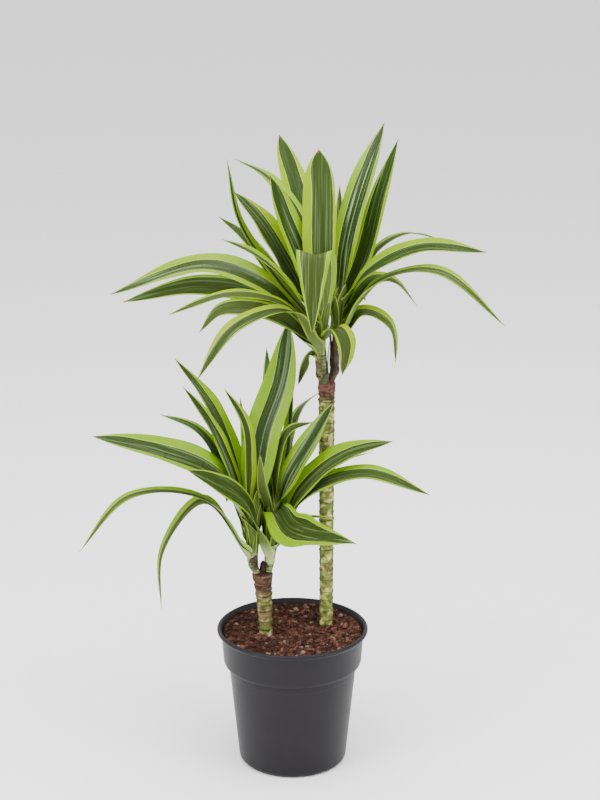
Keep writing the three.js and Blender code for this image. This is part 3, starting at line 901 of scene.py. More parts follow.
print("bud at", [round(value) for value in bud_foot])

# %% [markdown]
# ## The shoots
# A shoot is a short green stem. Below its leaves it shows the same rings as the cane, but close
# together and on pale green skin. Higher up it is hidden by the leaf bases that wrap round it.

# %% Shoot measurements, in millimetres
SHOOTS = {
    "upper_left": dict(base=490, foot=(38.6, 24.4), stem=(37, 20), tip=(32, 20), height=112,
                       foot_radius=6.2, stem_radius=6.9, tip_radius=2.4, brown=0.45),
    "upper_right": dict(base=490, foot=(47.4, 33.4), stem=(51, 36), tip=(56, 36), height=108,
                        foot_radius=5, stem_radius=5.6, tip_radius=2.2, brown=1.0),
    "lower_left": dict(base=250, foot=(-44.2, -1.3), stem=(-49, -3), tip=(-53, -3), height=88,
                       foot_radius=5.4, stem_radius=5.7, tip_radius=2.2, brown=0.35),
    "lower_right": dict(base=250, foot=(-30.8, 1.9), stem=(-29, 3), tip=(-23, 3), height=88,
                        foot_radius=5, stem_radius=5.3, tip_radius=2.2, brown=0.2),
}
FOOT_LIFT = 6  # height over which a shoot swells from its foot to its stem


def shoot_axis(shoot, up):
    bend = smoothstep(up, 0, 2 * FOOT_LIFT)
    rise = max(0, up) / shoot["height"]
    x = mix(shoot["foot"][0], shoot["stem"][0], bend) + (shoot["tip"][0] - shoot["stem"][0]) * rise
    y = mix(shoot["foot"][1], shoot["stem"][1], bend) + (shoot["tip"][1] - shoot["stem"][1]) * rise
    return Vector((x, y, shoot["base"] + up))


def shoot_radius(shoot, up):
    swell = smoothstep(up, 0, FOOT_LIFT + 2)
    stem = mix(shoot["stem_radius"], shoot["tip_radius"], smoothstep(up, 16, shoot["height"]))
    return mix(shoot["foot_radius"], stem, swell)


print("stem radius half way up:", {name: round(shoot_radius(shoot, shoot["height"] / 2), 1)
                                  for name, shoot in SHOOTS.items()})

# %% Shoot skin
SHOOT_GREEN, SHOOT_PALE = (0.05, 0.08, 0.014), (0.2, 0.24, 0.08)
SHOOT_BARK_DARK, SHOOT_BARK_LIGHT = (0.018, 0.011, 0.005), (0.07, 0.047, 0.02)
SHOOT_SCAR = (0.02, 0.011, 0.006)


def make_shoot_skin():
    material, tree, shader = new_material("shoot_skin", 0.55, Specular_IOR_Level=0.2)
    blotch = place_group(tree, PATCHES, Scale=90.0, Variant=2.5, Coverage=0.5, Softness=0.12)
    green = blend_colour(tree, blotch.outputs["Mask"], SHOOT_GREEN, SHOOT_PALE)
    bark = blend_colour(tree, blotch.outputs["Mask"], SHOOT_BARK_DARK, SHOOT_BARK_LIGHT)
    colour = blend_colour(tree, read_number(tree, "brown"), green, bark)
    colour = blend_colour(tree, read_number(tree, "scar"), colour, SHOOT_SCAR)
    tree.links.new(colour, shader.inputs["Base Color"])
    grain = place_group(tree, GRAIN, Scale=300.0, Variant=7.0, Fine_share=0.4)
    add_bump(tree, shader, grain.outputs["Height"], 0.0003)
    return material


shoot_skin = make_shoot_skin()
print("material:", shoot_skin.name)

# %% Shoot meshes
SHOOT_SIDES, SHOOT_STEP = 32, 0.7
RING_PITCH, RING_RIDGE, RING_HALF, RING_BULGE = 4.6, 0.35, 0.5, 0.35


def make_shoot(name, shoot):
    levels = np.arange(0.05, shoot["height"], SHOOT_STEP)
    points, scar_mask, brown_and_side_shade_mask, faces = [], [], [], []
    for up in levels:
        axis, radius = shoot_axis(shoot, up), shoot_radius(shoot, up)
        for side in range(SHOOT_SIDES):
            turn = 2 * math.pi * side / SHOOT_SIDES
            tilt = 0.7 * math.cos(turn - up / 9)
            phase = (up + tilt + 0.8 * math.sin(up / 7)) / RING_PITCH
            ridge = math.exp(-((phase - round(phase)) * RING_PITCH / RING_HALF) ** 2)
            bulge = RING_BULGE * math.cos(2 * math.pi * (phase - 0.5))
            reach = radius + RING_RIDGE * ridge + 0.3 * bulge
            points.append((axis + Vector((math.cos(turn), math.sin(turn), 0)) * reach) * MM)
            scar_mask.append(0.9 * ridge)
            worn = 1 - smoothstep(up, 10 + 40 * shoot["brown"], 40 + 50 * shoot["brown"])
            # The sides that face left and right take the dark bark colour: painted shade on the flanks,
            # on top of the real brown of the lower stem.
            painted_side_shade = smoothstep(abs(math.cos(turn)), 0.5, 1)
            brown_and_side_shade_mask.append(worn * mix(shoot["brown"] ** 2, 1, max(painted_side_shade, shoot["brown"] ** 2)))
    for ring in range(len(levels) - 1):
        for side in range(SHOOT_SIDES):
            beside = (side + 1) % SHOOT_SIDES
            low, high = ring * SHOOT_SIDES, (ring + 1) * SHOOT_SIDES
            faces.append((low + side, low + beside, high + beside, high + side))
    faces.append([side for side in reversed(range(SHOOT_SIDES))])
    faces.append([len(points) - SHOOT_SIDES + side for side in range(SHOOT_SIDES)])
    piece = new_piece(name + "_stem", points, faces, shoot_skin)
    store(piece, "scar", scar_mask)
    store(piece, "brown", brown_and_side_shade_mask)
    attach(piece, "root")
    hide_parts(name + "_shoot")


for name, shoot in SHOOTS.items():
    make_shoot(name, shoot)
print("shoots:", ", ".join(SHOOTS))

# %% [markdown]
# ## The leaves
# A leaf of this plant is a long strap, half clasping its shoot at the base, widest before its middle
# and drawn out to a fine point. It arches under its own weight and is folded along the midrib like a
# shallow gutter, which is what keeps it stiff. Each row of the table gives one leaf: its height on the
# shoot and its compass direction, three points of its midrib as (out, up) from the shoot's axis, its
# width, and the roll of its face about the midrib. All lengths are in millimetres, angles in degrees.
# An eighth number, where there is one, says how long the leaf keeps its width before its point.

# %% The leaf table
LEAVES = {
    "upper_left": [
        (32, 150, (14, 36), (22, 18), (33, -6), 16, -60),
        (40, 160, (75, 100), (160, 110), (265, 80), 28, -55),
        (44, 233, (55, 100), (170, 105), (235, 60), 26, -15),
        (48, 173, (55, 85), (120, 90), (150, 60), 24, -50),
        (52, 145, (75, 135), (115, 170), (155, 190), 18, -35),
        (56, -50, (30, 75), (45, 60), (40, 20), 28, 0),
        (60, 165, (70, 120), (145, 140), (270, 95), 33, -40),
        (62, 110, (45, 120), (95, 115), (140, 70), 26, 0),
        (66, 190, (55, 105), (115, 115), (185, 95), 24, -15),
        (70, 225, (60, 140), (110, 180), (160, 205), 18, -45),
        (74, 160, (55, 125), (105, 195), (120, 270), 22, 0),
        (78, 160, (40, 140), (75, 195), (110, 230), 42, -20, 3),
        (82, -96, (40, 143), (76, 178), (92, 86), 48, 0, 1.4),
        (82, 105, (45, 165), (115, 220), (195, 275), 36, 5, 4),
        (86, 120, (40, 185), (115, 230), (215, 245), 24, 10),
        (94, 170, (20, 150), (40, 200), (60, 255), 38, -35, 3),
        (106, 90, (5, 165), (25, 225), (50, 280), 40, 0, 5),
    ],
    "upper_right": [
        (38, 5, (30, 85), (65, 70), (75, 20), 22, 25, 3.5),
        (50, -27, (50, 125), (135, 150), (220, 95), 22, 15),
        (54, 74, (45, 115), (100, 110), (145, 65), 26, 0),
        (70, 28, (50, 120), (80, 115), (115, 80), 24, 25),
        (76, 100, (45, 125), (105, 125), (160, 80), 28, 0),
        (84, 35, (60, 155), (105, 170), (165, 155), 18, -5),
        (88, 35, (40, 150), (65, 225), (90, 290), 30, 10),
        (92, -20, (40, 140), (105, 175), (185, 175), 28, 35),
        (96, 88, (40, 155), (80, 190), (100, 225), 16, 0),
        (101, 55, (15, 165), (50, 235), (100, 305), 34, 5),
    ],
    "lower_left": [
        (22, 190, (60, 100), (110, 40), (115, -40), 20, -15),
        (28, 205, (60, 105), (160, 125), (225, 65), 20, -5),
        (38, 105, (45, 90), (95, 90), (140, 45), 24, 0),
        (48, 160, (40, 140), (70, 180), (120, 195), 26, -10),
        (52, 100, (40, 150), (70, 190), (85, 205), 12, 0),
        (56, 203, (45, 135), (115, 175), (200, 205), 44, -35),
        (62, 145, (30, 155), (60, 210), (115, 260), 30, -5),
        (70, 40, (20, 175), (49, 243), (63, 316), 44, 45, 3),
        (72, 185, (30, 155), (50, 200), (80, 245), 24, -35),
        (82, 150, (0, 145), (5, 195), (35, 235), 18, -20),
    ],
    "lower_right": [
        (20, 238, (55, 105), (125, 155), (175, 185), 34, -65),
        (28, 55, (75, 85), (155, 100), (230, 95), 14, -5),
        (32, -20, (30, 70), (55, 80), (85, 80), 6, 30),
        (36, 45, (45, 95), (95, 105), (135, 90), 24, 0),
        (40, -15, (50, 110), (120, 140), (200, 120), 30, 30),
        (44, -10, (40, 115), (90, 160), (150, 180), 34, 40),
        (48, -70, (15, 85), (65, 80), (285, 140), 48, 40, 1),
        (52, 100, (45, 110), (100, 115), (160, 75), 26, 0),
        (56, 70, (55, 145), (100, 180), (185, 185), 22, -35),
        (60, 55, (35, 150), (40, 190), (45, 225), 32, -25),
        (68, 95, (30, 150), (70, 225), (95, 265), 22, 0),
        (72, -115, (30, 120), (35, 145), (35, 165), 14, 0),
        (76, -10, (20, 125), (50, 180), (75, 225), 30, 55),
        (82, 5, (5, 145), (20, 185), (50, 195), 18, 30),
    ],
}
print("leaves:", {name: len(rows) for name, rows in LEAVES.items()})

# %% [markdown]
# ## The leaf's midrib
# A smooth curve runs from the shoot through the three points. It is a Catmull-Rom spline in its
# centripetal form, which passes through every point and never loops between close ones. Below the
# leaf's foot a short sheath runs down the shoot, so its points are put before the curve's own.

# %% Midrib curve
BLADE_STATIONS, SPAN_SAMPLES = 46, 24


def curve_through(knots, count):
    """Points at even steps along the smooth curve through the knots."""
    ends = [2 * knots[0] - knots[1], *knots, 2 * knots[-1] - knots[-2]]
    samples = []
    for before, start, end, after in zip(ends, ends[1:], ends[2:], ends[3:]):
        pairs = (before, start), (start, end), (end, after)
        first, middle, last = ((there - here).length ** 0.5 for here, there in pairs)
        leaving = (start - before) / first - (end - before) / (first + middle) + (end - start) / middle
        arriving = (end - start) / middle - (after - start) / (middle + last) + (after - end) / last
        for share in np.linspace(0, 1, SPAN_SAMPLES, endpoint=False):
            weights = (2 * share ** 3 - 3 * share ** 2 + 1, share ** 3 - 2 * share ** 2 + share,
                       3 * share ** 2 - 2 * share ** 3, share ** 3 - share ** 2)
            parts = (start, leaving * middle, end, arriving * middle)
            samples.append(sum((part * weight for part, weight in zip(parts, weights)), Vector()))
    samples = np.array([*samples, knots[-1]])
    travelled = np.concatenate([[0], np.cumsum(np.linalg.norm(np.diff(samples, axis=0), axis=1))])
    even = np.linspace(0, travelled[-1], count)
    points = [np.interp(even, travelled, samples[:, axis]) for axis in range(3)]
    return [Vector(point) for point in zip(*points)], travelled[-1]


trial_knots = [Vector((0, 0, 0)), Vector((30, 0, 20)), Vector((60, 0, 0))]
print("length of a trial curve:", round(float(curve_through(trial_knots, BLADE_STATIONS)[1]), 1))

# %% [markdown]
# ## The leaf's cross-section
# At its foot the section is an arc round the shoot. Further out it opens into the gutter: two flat
# halves that rise from a rounded midrib. The edges ripple a little, and the blade thins towards them.
# The maker stores where each point lies on the leaf, because the stripes follow the leaf's own shape
# and not the world: how far across from -1 to 1, how far along from 0 to 1, and both in millimetres.

# %% Width and section of a leaf
COLUMNS = 17
LEAF_THICKNESS, FULLNESS, FOLD, WIDEST = 0.5, 2.4, 0.34, 0.42
SHEATH_WIDTH, SHEATH_STATIONS, SHEATH_DROP, FOOT_GAP = 18, 6, 6, 1.1
CLASP = 1.35  # radians that the foot wraps to each side of the shoot
RIPPLE = 0.035  # height of the waves along the edges, as a share of the width


def width_share(along, width, fullness):
    sheath = min(SHEATH_WIDTH, 0.7 * width) / width
    if along < WIDEST:
        return mix(sheath, 1, math.sin(math.pi / 2 * along / WIDEST))
    return 1 - ((along - WIDEST) / (1 - WIDEST)) ** fullness


def leaf_section(share, half, along, out, ripple):
    """Sideways place and lift of a point across the leaf."""
    clasp = mix(CLASP, half / out, smoothstep(along, 0, 0.1))
    arc = (out * math.sin(clasp * share), out * (1 - math.cos(clasp * share)))
    gutter = (half * share, half * FOLD * (math.sqrt(share ** 2 + 0.02) - math.sqrt(0.02)))
    opened = smoothstep(along, 0.02, 0.2)
    lift = mix(arc[1], gutter[1], opened) + ripple * abs(share) ** 3 * opened
    return mix(arc[0], gutter[0], opened), lift


def leaf_stations(shoot, row):
    height, azimuth, first, second, tip = row[:5]
    outward = Vector((math.cos(math.radians(azimuth)), math.sin(math.radians(azimuth)), 0))
    axis, radius = shoot_axis(shoot, height), shoot_radius(shoot, height)
    knots = [Vector((axis.x, axis.y, shoot["base"] + up)) + outward * out
             for out, up in ((radius + FOOT_GAP, height), first, second, tip)]
    blade, length = curve_through(knots, BLADE_STATIONS)
    drop = min(SHEATH_DROP, height - 8)
    sheath = []
    for step in range(SHEATH_STATIONS):
        up = height - drop * (1 - step / SHEATH_STATIONS)
        hug = shoot_radius(shoot, up) + 0.5 + 0.5 * step / SHEATH_STATIONS
        sheath.append(shoot_axis(shoot, up) + outward * hug)
    alongs = [-0.02] * SHEATH_STATIONS + [step / (BLADE_STATIONS - 1) for step in range(BLADE_STATIONS)]
    return sheath + blade, alongs, outward, axis, length


places = 0, 0.2, WIDEST, 0.7, 0.95
print("shares of a leaf's width:", [round(width_share(along, 30, FULLNESS), 2) for along in places])

# %% Faces of a leaf
def leaf_faces(stations, under):
    """Faces of the upper side, the lower side, both edges and both ends."""
    faces = []
    for station in range(stations - 1):
        start, after = station * COLUMNS, (station + 1) * COLUMNS
        for column in range(COLUMNS - 1):
            a, b = start + column, after + column
            faces.append((a, a + 1, b + 1, b))
            faces.append((under + a, under + b, under + b + 1, under + a + 1))
        faces.append((start, after, under + after, under + start))
        end, next_end = start + COLUMNS - 1, after + COLUMNS - 1
        faces.append((end, under + end, under + next_end, next_end))
    last = (stations - 1) * COLUMNS
    faces.append([*range(COLUMNS)][::-1] + [under + column for column in range(COLUMNS)])
    faces.append([last + column for column in range(COLUMNS)]
                 + [under + last + column for column in range(COLUMNS)][::-1])
    return faces


leaf_rows = SHEATH_STATIONS + BLADE_STATIONS
print("faces of a leaf:", len(leaf_faces(leaf_rows, leaf_rows * COLUMNS)))

# %% Leaf mesh
def make_leaf(name, shoot, row, skin, look, draw):
    width, roll = row[5:7]
    fullness = row[7] if len(row) > 7 else FULLNESS
    centres, alongs, outward, axis, length = leaf_stations(shoot, row)
    across = Vector((outward.y, -outward.x, 0))
    waves, phase, swing = draw.uniform(1.5, 3.5), draw.uniform(0, 6.28), draw.uniform(-5, 5)
    upper, lower, facts = [], [], []
    for index, (centre, along) in enumerate(zip(centres, alongs)):
        ahead, behind = centres[min(index + 1, len(centres) - 1)], centres[max(index - 1, 0)]
        tangent = (ahead - behind).normalized()
        level = across.cross(tangent).normalized()
        turn = math.radians(roll + swing * math.sin(3 * along)) * smoothstep(along, 0, 0.35)
        side = across * math.cos(turn) - level * math.sin(turn)
        face = level * math.cos(turn) + across * math.sin(turn)
        half = max(0.15, width / 2 * width_share(max(0, along), width, fullness))
        out = max(3, Vector((centre.x - axis.x, centre.y - axis.y)).length)
        bell = max(0, math.sin(math.pi * min(1, max(0, along))))
        for column in range(COLUMNS):
            share = 2 * column / (COLUMNS - 1) - 1
            wave = math.sin(6.28 * waves * along + phase + (2 if share > 0 else 0))
            sideways, lift = leaf_section(share, half, along, out, RIPPLE * width * bell * wave)
            point = centre + side * sideways + face * lift
            thick = LEAF_THICKNESS * (1 - 0.5 * share ** 2) / 2
            upper.append((point + face * thick) * MM)
            lower.append((point - face * thick) * MM)
            facts.append((share, max(0, along), half, length * max(-0.1, along)))
    piece = new_piece(name, upper + lower, leaf_faces(len(centres), len(upper)), skin)
    for index, fact in enumerate(("across", "along", "half_width", "distance")):
        store(piece, fact, [point[index] for point in facts] * 2)
    store(piece, "underside", [0] * len(upper) + [1] * len(lower))
    for fact, value in look.items():
        store(piece, fact, [value] * (2 * len(upper)))
    return piece


print("points of a leaf:", 2 * leaf_rows * COLUMNS)

# %% [markdown]
# ## The leaf's stripes
# Seen across, a leaf has a dark green centre, a hair-thin cream line on each side of it, and a lime to
# yellow margin. Fine pale streaks run along the centre. The shader reads the stored place on the leaf
# and asks one question after another: margin or centre, near the line between them or not, on a streak
# or not. The foot of the leaf is pale where it never saw light, and the last millimetres are brown.

# %% Streaks that run along a leaf
SEED_SPREAD = 37.0  # keeps the noise of two leaves far apart


def make_streaks():
    """Noise that is squeezed across the leaf and drawn out along it, as a mask."""
    inputs = {"Sideways": 0.0, "Distance": 0.0, "Seed": 0.0, "Fineness": 1.0, "Stretch": 0.01,
              "Coverage": 0.5, "Softness": 0.1, "Variant": 0.0}
    group, entry, leave = new_group("streaks", inputs, "Mask")
    asked = entry.outputs
    place = add_node(group, "ShaderNodeCombineXYZ")
    squeezed = calc(group, "MULTIPLY", asked["Sideways"], asked["Fineness"])
    drawn_out = calc(group, "MULTIPLY", asked["Distance"], asked["Stretch"])
    slice_number = calc(group, "MULTIPLY_ADD", asked["Seed"], SEED_SPREAD, asked["Variant"])
    for socket, value in (("X", squeezed), ("Y", drawn_out), ("Z", slice_number)):
        group.links.new(value, place.inputs[socket])
    grain = add_node(group, "ShaderNodeTexNoise", {"Scale": 1.0, "Detail": 2.0})
    group.links.new(place.outputs["Vector"], grain.inputs["Vector"])
    level = calc(group, "SUBTRACT", 1.0, asked["Coverage"])
    start = calc(group, "SUBTRACT", level, asked["Softness"])
    end = calc(group, "ADD", level, asked["Softness"])
    group.links.new(ramp(group, grain.outputs["Fac"], start, end), leave.inputs["Mask"])
    return group


STREAKS = make_streaks()


def streaks(tree, fineness, stretch, coverage, softness, variant):
    """Place the group and feed it with the numbers that are stored on the leaf."""
    sideways = calc(tree, "MULTIPLY", read_number(tree, "across"), read_number(tree, "half_width"))
    made = place_group(tree, STREAKS, Sideways=sideways, Distance=read_number(tree, "distance"),
                       Seed=read_number(tree, "seed"), Fineness=fineness, Stretch=stretch,
                       Coverage=coverage, Softness=softness, Variant=variant)
    return made.outputs["Mask"]


print("node group:", STREAKS.name)

# %% Centre, margin and the line between them
LINE_FADE = 0.1, 0.5  # millimetres from its middle, over which the line fades


def past_border(tree, across, along):
    """Millimetres from the border between centre and margin, positive on the margin."""
    margins = add_node(tree, "ShaderNodeMix", data_type="FLOAT")
    on_right = calc(tree, "GREATER_THAN", across, 0.0)
    for source, socket in ((on_right, 0), (read_number(tree, "left_margin"), 2),
                           (read_number(tree, "right_margin"), 3)):
        tree.links.new(source, margins.inputs[socket])
    wander = calc(tree, "MULTIPLY_ADD", streaks(tree, 0.02, 0.02, 0.5, 0.3, 5.0), -0.1, 1.05)
    towards_tip = calc(tree, "MULTIPLY_ADD", ramp(tree, along, 0.7, 1.0), -0.75, 1.0)
    uneven_share = calc(tree, "MULTIPLY", margins.outputs[0], wander)
    border = calc(tree, "SUBTRACT", 1.0, calc(tree, "MULTIPLY", uneven_share, towards_tip))
    beyond = calc(tree, "SUBTRACT", calc(tree, "ABSOLUTE", across), border)
    return calc(tree, "MULTIPLY", beyond, read_number(tree, "half_width"))


def cream_line(tree, beyond):
    """Strength of the thin line that follows the border and breaks off here and there."""
    line_gap = calc(tree, "ABSOLUTE", calc(tree, "ADD", beyond, 0.1))
    on_line = calc(tree, "SUBTRACT", 1.0, ramp(tree, line_gap, *LINE_FADE))
    broken = streaks(tree, 0.05, 0.03, 0.62, 0.2, 7.0)
    return calc(tree, "MULTIPLY", on_line, calc(tree, "MULTIPLY_ADD", broken, 0.6, 0.25))


print("width of the line in mm:", 2 * LINE_FADE[1])

# %% Colours of centre and margin
LIME, YELLOW, LINE = (0.14, 0.258, 0.0), (0.195, 0.27, 0.0), (0.36, 0.47, 0.08)
LEAF_GREEN, GREY_GREEN, STREAK = (0.012, 0.028, 0.002), (0.05, 0.066, 0.014), (0.24, 0.34, 0.15)
MARGIN_VEIN, UNDERSIDE = (0.05, 0.11, 0.0), (0.13, 0.17, 0.04)
PALE_FOOT, BROWN_TIP = (0.36, 0.43, 0.17), (0.1, 0.055, 0.02)


def centre_colour(tree, broad, fine):
    centre = blend_colour(tree, read_number(tree, "grey"), LEAF_GREEN, GREY_GREEN)
    strength = calc(tree, "MULTIPLY", read_number(tree, "streaky"), 0.75)
    centre = blend_colour(tree, calc(tree, "MULTIPLY", broad, strength), centre, STREAK)
    centre = blend_colour(tree, calc(tree, "MULTIPLY", fine, 0.12), centre, STREAK)
    dark_lines = streaks(tree, 0.6, 0.006, 0.36, 0.08, 4.0)
    return blend_colour(tree, calc(tree, "MULTIPLY", dark_lines, 0.6), centre, LEAF_GREEN)


def margin_colour(tree, along, fine):
    ripeness = place_group(tree, PATCHES, Scale=14.0, Variant=4.0, Coverage=0.5, Softness=0.3)
    ripe_end = calc(tree, "MULTIPLY", ripeness.outputs["Mask"], calc(tree, "MULTIPLY", along, 0.45))
    yellow = calc(tree, "ADD", ripe_end, read_number(tree, "yellow"), clamp=True)
    margin = blend_colour(tree, yellow, LIME, YELLOW)
    return blend_colour(tree, calc(tree, "MULTIPLY", fine, 0.25), margin, MARGIN_VEIN)


print("margin from", LIME, "to", YELLOW)

# %% Leaf skin
LEAF_GLOW = dict(Subsurface_Weight=0.3, Subsurface_Radius=(0.7, 1.0, 0.1), Subsurface_Scale=0.0015)


def make_leaf_skin(name, gloss, roughness):
    material, tree, shader = new_material(name, roughness, Specular_IOR_Level=gloss, **LEAF_GLOW)
    across, along = read_number(tree, "across"), read_number(tree, "along")
    beyond = past_border(tree, across, along)
    broad = streaks(tree, 0.42, 0.007, 0.42, 0.07, 1.0)
    fine = streaks(tree, 1.6, 0.012, 0.36, 0.06, 9.0)
    colour = blend_colour(tree, ramp(tree, beyond, -0.1, 0.25), centre_colour(tree, broad, fine),
                          margin_colour(tree, along, fine))
    colour = blend_colour(tree, cream_line(tree, beyond), colour, LINE)
    under_share = calc(tree, "MULTIPLY", read_number(tree, "underside"), 0.3)
    colour = blend_colour(tree, under_share, colour, UNDERSIDE)
    foot = calc(tree, "SUBTRACT", 1.0, ramp(tree, along, 0.01, 0.15))
    foot_paleness = calc(tree, "MULTIPLY", foot, read_number(tree, "pale_foot"))
    foot_streaks = calc(tree, "MULTIPLY", foot_paleness, calc(tree, "MULTIPLY_ADD", broad, -0.55, 0.95))
    colour = blend_colour(tree, foot_streaks, colour, PALE_FOOT)
    colour = blend_colour(tree, ramp(tree, along, 0.965, 0.995), colour, BROWN_TIP)
    tree.links.new(colour, shader.inputs["Base Color"])
    uneven = place_group(tree, PATCHES, Scale=70.0, Variant=8.0, Coverage=0.5, Softness=0.3)
    rough = calc(tree, "MULTIPLY_ADD", uneven.outputs["Mask"], 0.14, roughness - 0.07)
    tree.links.new(rough, shader.inputs["Roughness"])
    add_bump(tree, shader, streaks(tree, 2.2, 0.015, 0.5, 0.35, 3.0), 0.00012)
    return material


leaf_skin = make_leaf_skin("leaf_skin", 0.05, 0.4)
glossy_leaf_skin = make_leaf_skin("glossy_leaf_skin", 0.16, 0.3)
print("materials:", leaf_skin.name, glossy_leaf_skin.name)

# %% [markdown]
# No two leaves are marked alike. Five numbers say how: the share of each half that is margin, first
# the half on the left of someone who looks out from the stem with the upper face up and then the
# right one, how yellow the margin is, how grey the centre, and how strongly it is streaked. The leaves
# that show most have their own numbers by name. The rest vary at random round the usual ones.

# %% Markings of the leaves
FACTS = ("left_margin", "right_margin", "yellow", "grey", "streaky")
GLOSSY = {"upper_right_leaf_10", "upper_left_leaf_07", "lower_left_leaf_08", "lower_left_leaf_06",
          "lower_right_leaf_13"}
PALE_FEET = {"upper_left": 0.15, "upper_right": 0.15, "lower_left": 0.5, "lower_right": 0.9}
VARIETY = 0.12
USUAL = {"upper": (0.34, 0.34, 0.3, 0.4, 0.3), "lower": (0.42, 0.42, 0.08, 0.3, 0.3)}
MARKED = {
    "upper_left_leaf_01": (0.15, 0.2, 0.2, 0.6, 0.1),
    "upper_left_leaf_02": (0.12, 0.2, 0.3, 0.45, 0.25),
    "upper_left_leaf_03": (0.2, 0.5, 0.85, 0.35, 0.35),
    "upper_left_leaf_04": (0.15, 0.2, 0.3, 0.9, 0.35),
    "upper_left_leaf_05": (0.1, 0.15, 0.3, 0.4, 0.1),
    "upper_left_leaf_06": (0.45, 0.25, 0.75, 0.6, 0.3),
    "upper_left_leaf_07": (0.42, 0.52, 0.35, 0.35, 0.5),
    "upper_left_leaf_09": (0.25, 0.3, 0.6, 0.85, 0.2),
    "upper_left_leaf_10": (0.15, 0.6, 0.2, 0.4, 0.2),
    "upper_left_leaf_11": (0.85, 0.6, 0.3, 0.45, 0.2),
    "upper_left_leaf_12": (0.15, 0.5, 0.3, 0.4, 0.3),
    "upper_left_leaf_13": (0.24, 0.2, 0.1, 0.55, 0.5),
    "upper_left_leaf_14": (0.55, 0.36, 0.45, 0.15, 0.1),
    "upper_left_leaf_15": (0.6, 0.5, 0.1, 0.3, 0.3),
    "upper_left_leaf_16": (0.34, 0.46, 0.1, 0.15, 0.4),
    "upper_left_leaf_17": (0.54, 0.14, 0.5, 0.35, 0.2),
    "upper_right_leaf_01": (0.5, 0.2, 0.6, 0.85, 0.2),
    "upper_right_leaf_02": (0.4, 0.3, 0.2, 0.8, 0.3),
    "upper_right_leaf_04": (0.35, 0.2, 0.2, 0.4, 0.2),
    "upper_right_leaf_06": (0.3, 0.15, 0.2, 0.35, 0.2),
    "upper_right_leaf_07": (0.2, 0.36, 0.25, 0.1, 0.25),
    "upper_right_leaf_08": (0.55, 0.15, 0.3, 0.2, 0.2),
    # Its streaks go past full strength: its own pale streaks, strengthened as a painted highlight along
    # the centre.
    "upper_right_leaf_10": (0.46, 0.3, 0.05, 0.1, 1.3),
    "lower_left_leaf_01": (0.2, 0.5, 0.3, 0.8, 0.4),
    "lower_left_leaf_02": (0.4, 0.5, 0.3, 0.95, 0.1),
    "lower_left_leaf_04": (0.2, 0.4, 0.1, 0.3, 0.3),
    "lower_left_leaf_06": (0.42, 0.5, 0.0, 0.25, 0.4),
    "lower_left_leaf_07": (0.2, 0.62, 0.1, 0.35, 0.3),
    "lower_left_leaf_08": (0.58, 0.56, 0.0, 0.05, 0.4),
    "lower_left_leaf_09": (0.2, 0.4, 0.1, 0.2, 0.6),
    "lower_left_leaf_10": (0.25, 0.6, 0.1, 0.4, 0.1),
    "lower_right_leaf_01": (0.16, 0.1, 0.0, 0.3, 0.35),
    "lower_right_leaf_05": (0.42, 0.3, 0.0, 0.5, 0.2),
    "lower_right_leaf_06": (0.62, 0.15, 0.0, 0.45, 0.25),
    "lower_right_leaf_07": (0.22, 0.55, 0.0, 0.25, 0.4),
    "lower_right_leaf_10": (0.7, 0.7, 0.0, 0.2, 0.2),
    "lower_right_leaf_12": (0.1, 0.15, 0.1, 0.7, 0.2),
    "lower_right_leaf_13": (0.42, 0.32, 0.0, 0.1, 0.6),
    "lower_right_leaf_14": (0.3, 0.12, 0.1, 0.7, 0.1),
}


def marking(name, crown, draw):
    usual = [max(0, value + draw.uniform(-VARIETY, VARIETY)) for value in USUAL[crown]]
    return {**dict(zip(FACTS, MARKED.get(name, usual))), "pale_foot": PALE_FEET[name.split("_leaf")[0]],
            "seed": draw.random()}


print("leaves with numbers of their own:", len(MARKED))

# %% Make every leaf
def dress_leaf(name, shoot_name, row, skin, look, draw, replaced):
    leaf = make_leaf(name, SHOOTS[shoot_name], row, skin, look, draw)
    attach(leaf, "root")
    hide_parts(replaced)


for name, rows in LEAVES.items():
    for number, row in enumerate(rows, 1):
        node = f"{name}_leaf_{number:02d}"
        draw = random.Random(node)
        look = marking(node, name.split("_")[0], draw)
        skin = glossy_leaf_skin if node in GLOSSY else leaf_skin
        dress_leaf(node.replace("leaf", "blade"), name, row, skin, look, draw, node)
print("leaf pieces:", sum(len(rows) for rows in LEAVES.values()))

# %% [markdown]
# Where the leaves leave a shoot, the stem is wrapped in leaf bases, each clasping the next, so the
# middle of a crown looks dense and striped. These short straps stand close round the stem between
# the feet of the long leaves. A row has the same meaning as in the leaf table.

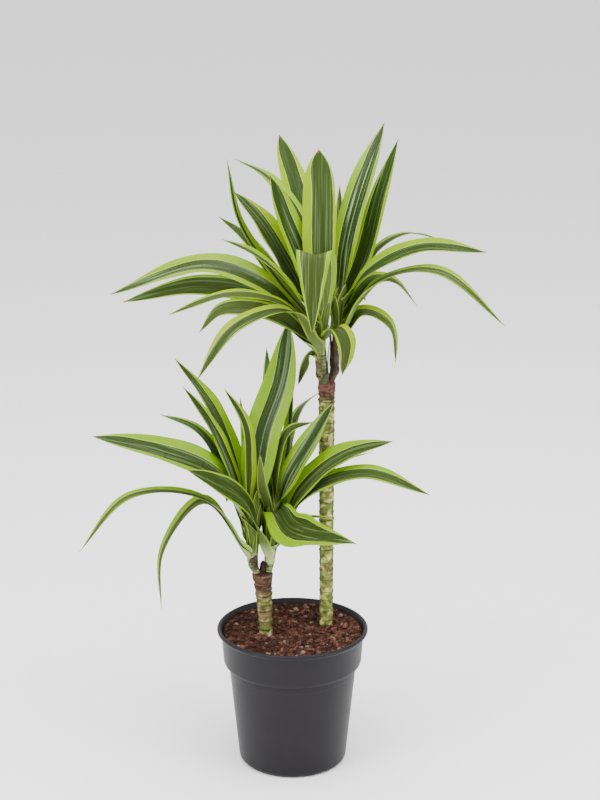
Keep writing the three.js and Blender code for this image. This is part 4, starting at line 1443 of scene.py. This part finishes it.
# %% Leaf bases round the stems
BASES = {
    "upper_left": [
        (48, -120, (9, 66), (14, 86), (22, 108), 15, 0),
        (58, -55, (9, 76), (13, 94), (20, 114), 14, 0),
        (66, 0, (9, 84), (14, 102), (22, 122), 14, 0),
        (60, -160, (9, 78), (16, 98), (30, 118), 14, 0),
    ],
    "upper_right": [
        (62, -110, (7, 80), (11, 98), (17, 118), 12, 0),
        (64, 190, (7, 80), (11, 98), (15, 116), 12, 0),
        (68, -60, (7, 86), (12, 104), (21, 126), 12, 0),
        (72, -140, (7, 90), (11, 108), (15, 130), 12, 0),
    ],
    "lower_left": [
        (24, -90, (8, 44), (11, 64), (14, 88), 14, 0),
        (26, -150, (8, 48), (13, 70), (20, 94), 15, 0),
        (30, -30, (8, 50), (11, 72), (14, 96), 13, 0),
        (36, -115, (8, 58), (12, 82), (18, 110), 13, 0),
        (42, -60, (8, 62), (12, 88), (16, 116), 13, 0),
        (28, 20, (9, 52), (13, 76), (17, 104), 15, 0),
        (40, 70, (9, 66), (14, 94), (20, 122), 16, 0),
        (34, 150, (8, 58), (13, 84), (22, 112), 15, 0),
    ],
    "lower_right": [
        (18, -45, (8, 38), (13, 58), (24, 84), 14, 0),
        (22, 214, (14, 46), (28, 66), (46, 84), 18, -20),
        (30, -90, (8, 54), (12, 76), (16, 100), 13, 0),
        (36, -160, (8, 58), (14, 82), (20, 106), 13, 0),
        (26, 165, (9, 50), (13, 76), (16, 106), 15, 0),
        (40, 120, (9, 66), (14, 94), (18, 120), 16, 0),
        (24, -10, (8, 44), (13, 62), (22, 84), 13, 0),
    ],
}
for name, rows in BASES.items():
    for number, row in enumerate(rows, 1):
        draw = random.Random(f"{name} base {number}")
        look = {"left_margin": draw.uniform(0.1, 0.25), "right_margin": draw.uniform(0.1, 0.25),
                "yellow": 0.1, "grey": draw.uniform(0.2, 0.7), "streaky": 0.5,
                "pale_foot": PALE_FEET[name], "seed": draw.random()}
        dress_leaf(f"{name}_base_{number}", name, row, leaf_skin, look, draw, name + "_shoot")
print("leaf bases:", sum(len(rows) for rows in BASES.values()))

# %% [markdown]
# Lower down only dry brown scraps of old leaf bases are left. They clasp the bare part of the stems
# and hang between them. They're made like the green straps, with the skin of the shoot.

# %% Dry scraps on the stems
SCRAPS = {
    "upper_left": [
        (10, 178, (7.6, 26), (8.6, 42), (12, 62), 8, 0),
        (12, -10, (7.6, 26), (8, 40), (9, 54), 7, 0),
        (26, -165, (7.6, 40), (9, 56), (13, 72), 8, 0),
    ],
    "upper_right": [
        (14, -60, (6.4, 30), (7.4, 46), (9, 62), 8, 0),
        (24, 160, (6, 40), (7, 56), (9, 72), 8, 0),
    ],
    "lower_left": [
        (12, 5, (6.6, 26), (8, 40), (10, 58), 9, 0),
        (22, -60, (6.8, 36), (8.6, 54), (10, 74), 8, 0),
        (24, -125, (6.8, 38), (9, 56), (13, 76), 8, 0),
    ],
    "lower_right": [
        (10, 178, (6.4, 24), (7.6, 38), (10, 56), 9, 0),
        (14, 130, (6.4, 28), (8, 44), (11, 60), 9, 0),
    ],
}
for name, rows in SCRAPS.items():
    for number, row in enumerate(rows, 1):
        draw = random.Random(f"{name} scrap {number}")
        look = {"brown": draw.uniform(0.8, 1.0), "scar": draw.uniform(0.3, 0.7)}
        dress_leaf(f"{name}_scrap_{number}", name, row, shoot_skin, look, draw, name + "_shoot")
print("dry scraps:", sum(len(rows) for rows in SCRAPS.values()))

# %% [markdown]
# ## Sizes
# The dressed plant's box is set against the imported model's box, and how far it grows past it on each
# axis is printed. The dressed plant has to stay inside the imported model's box, apart from a few
# millimetres.

# %% Growth past the imported box
seen_low, seen_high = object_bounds()
boxes = zip(cad_low, seen_low, cad_high, seen_high)
grown = [round(1000 * max(a - b, d - c), 1) for a, b, c, d in boxes]
print("largest growth past the packed box in mm:", grown)
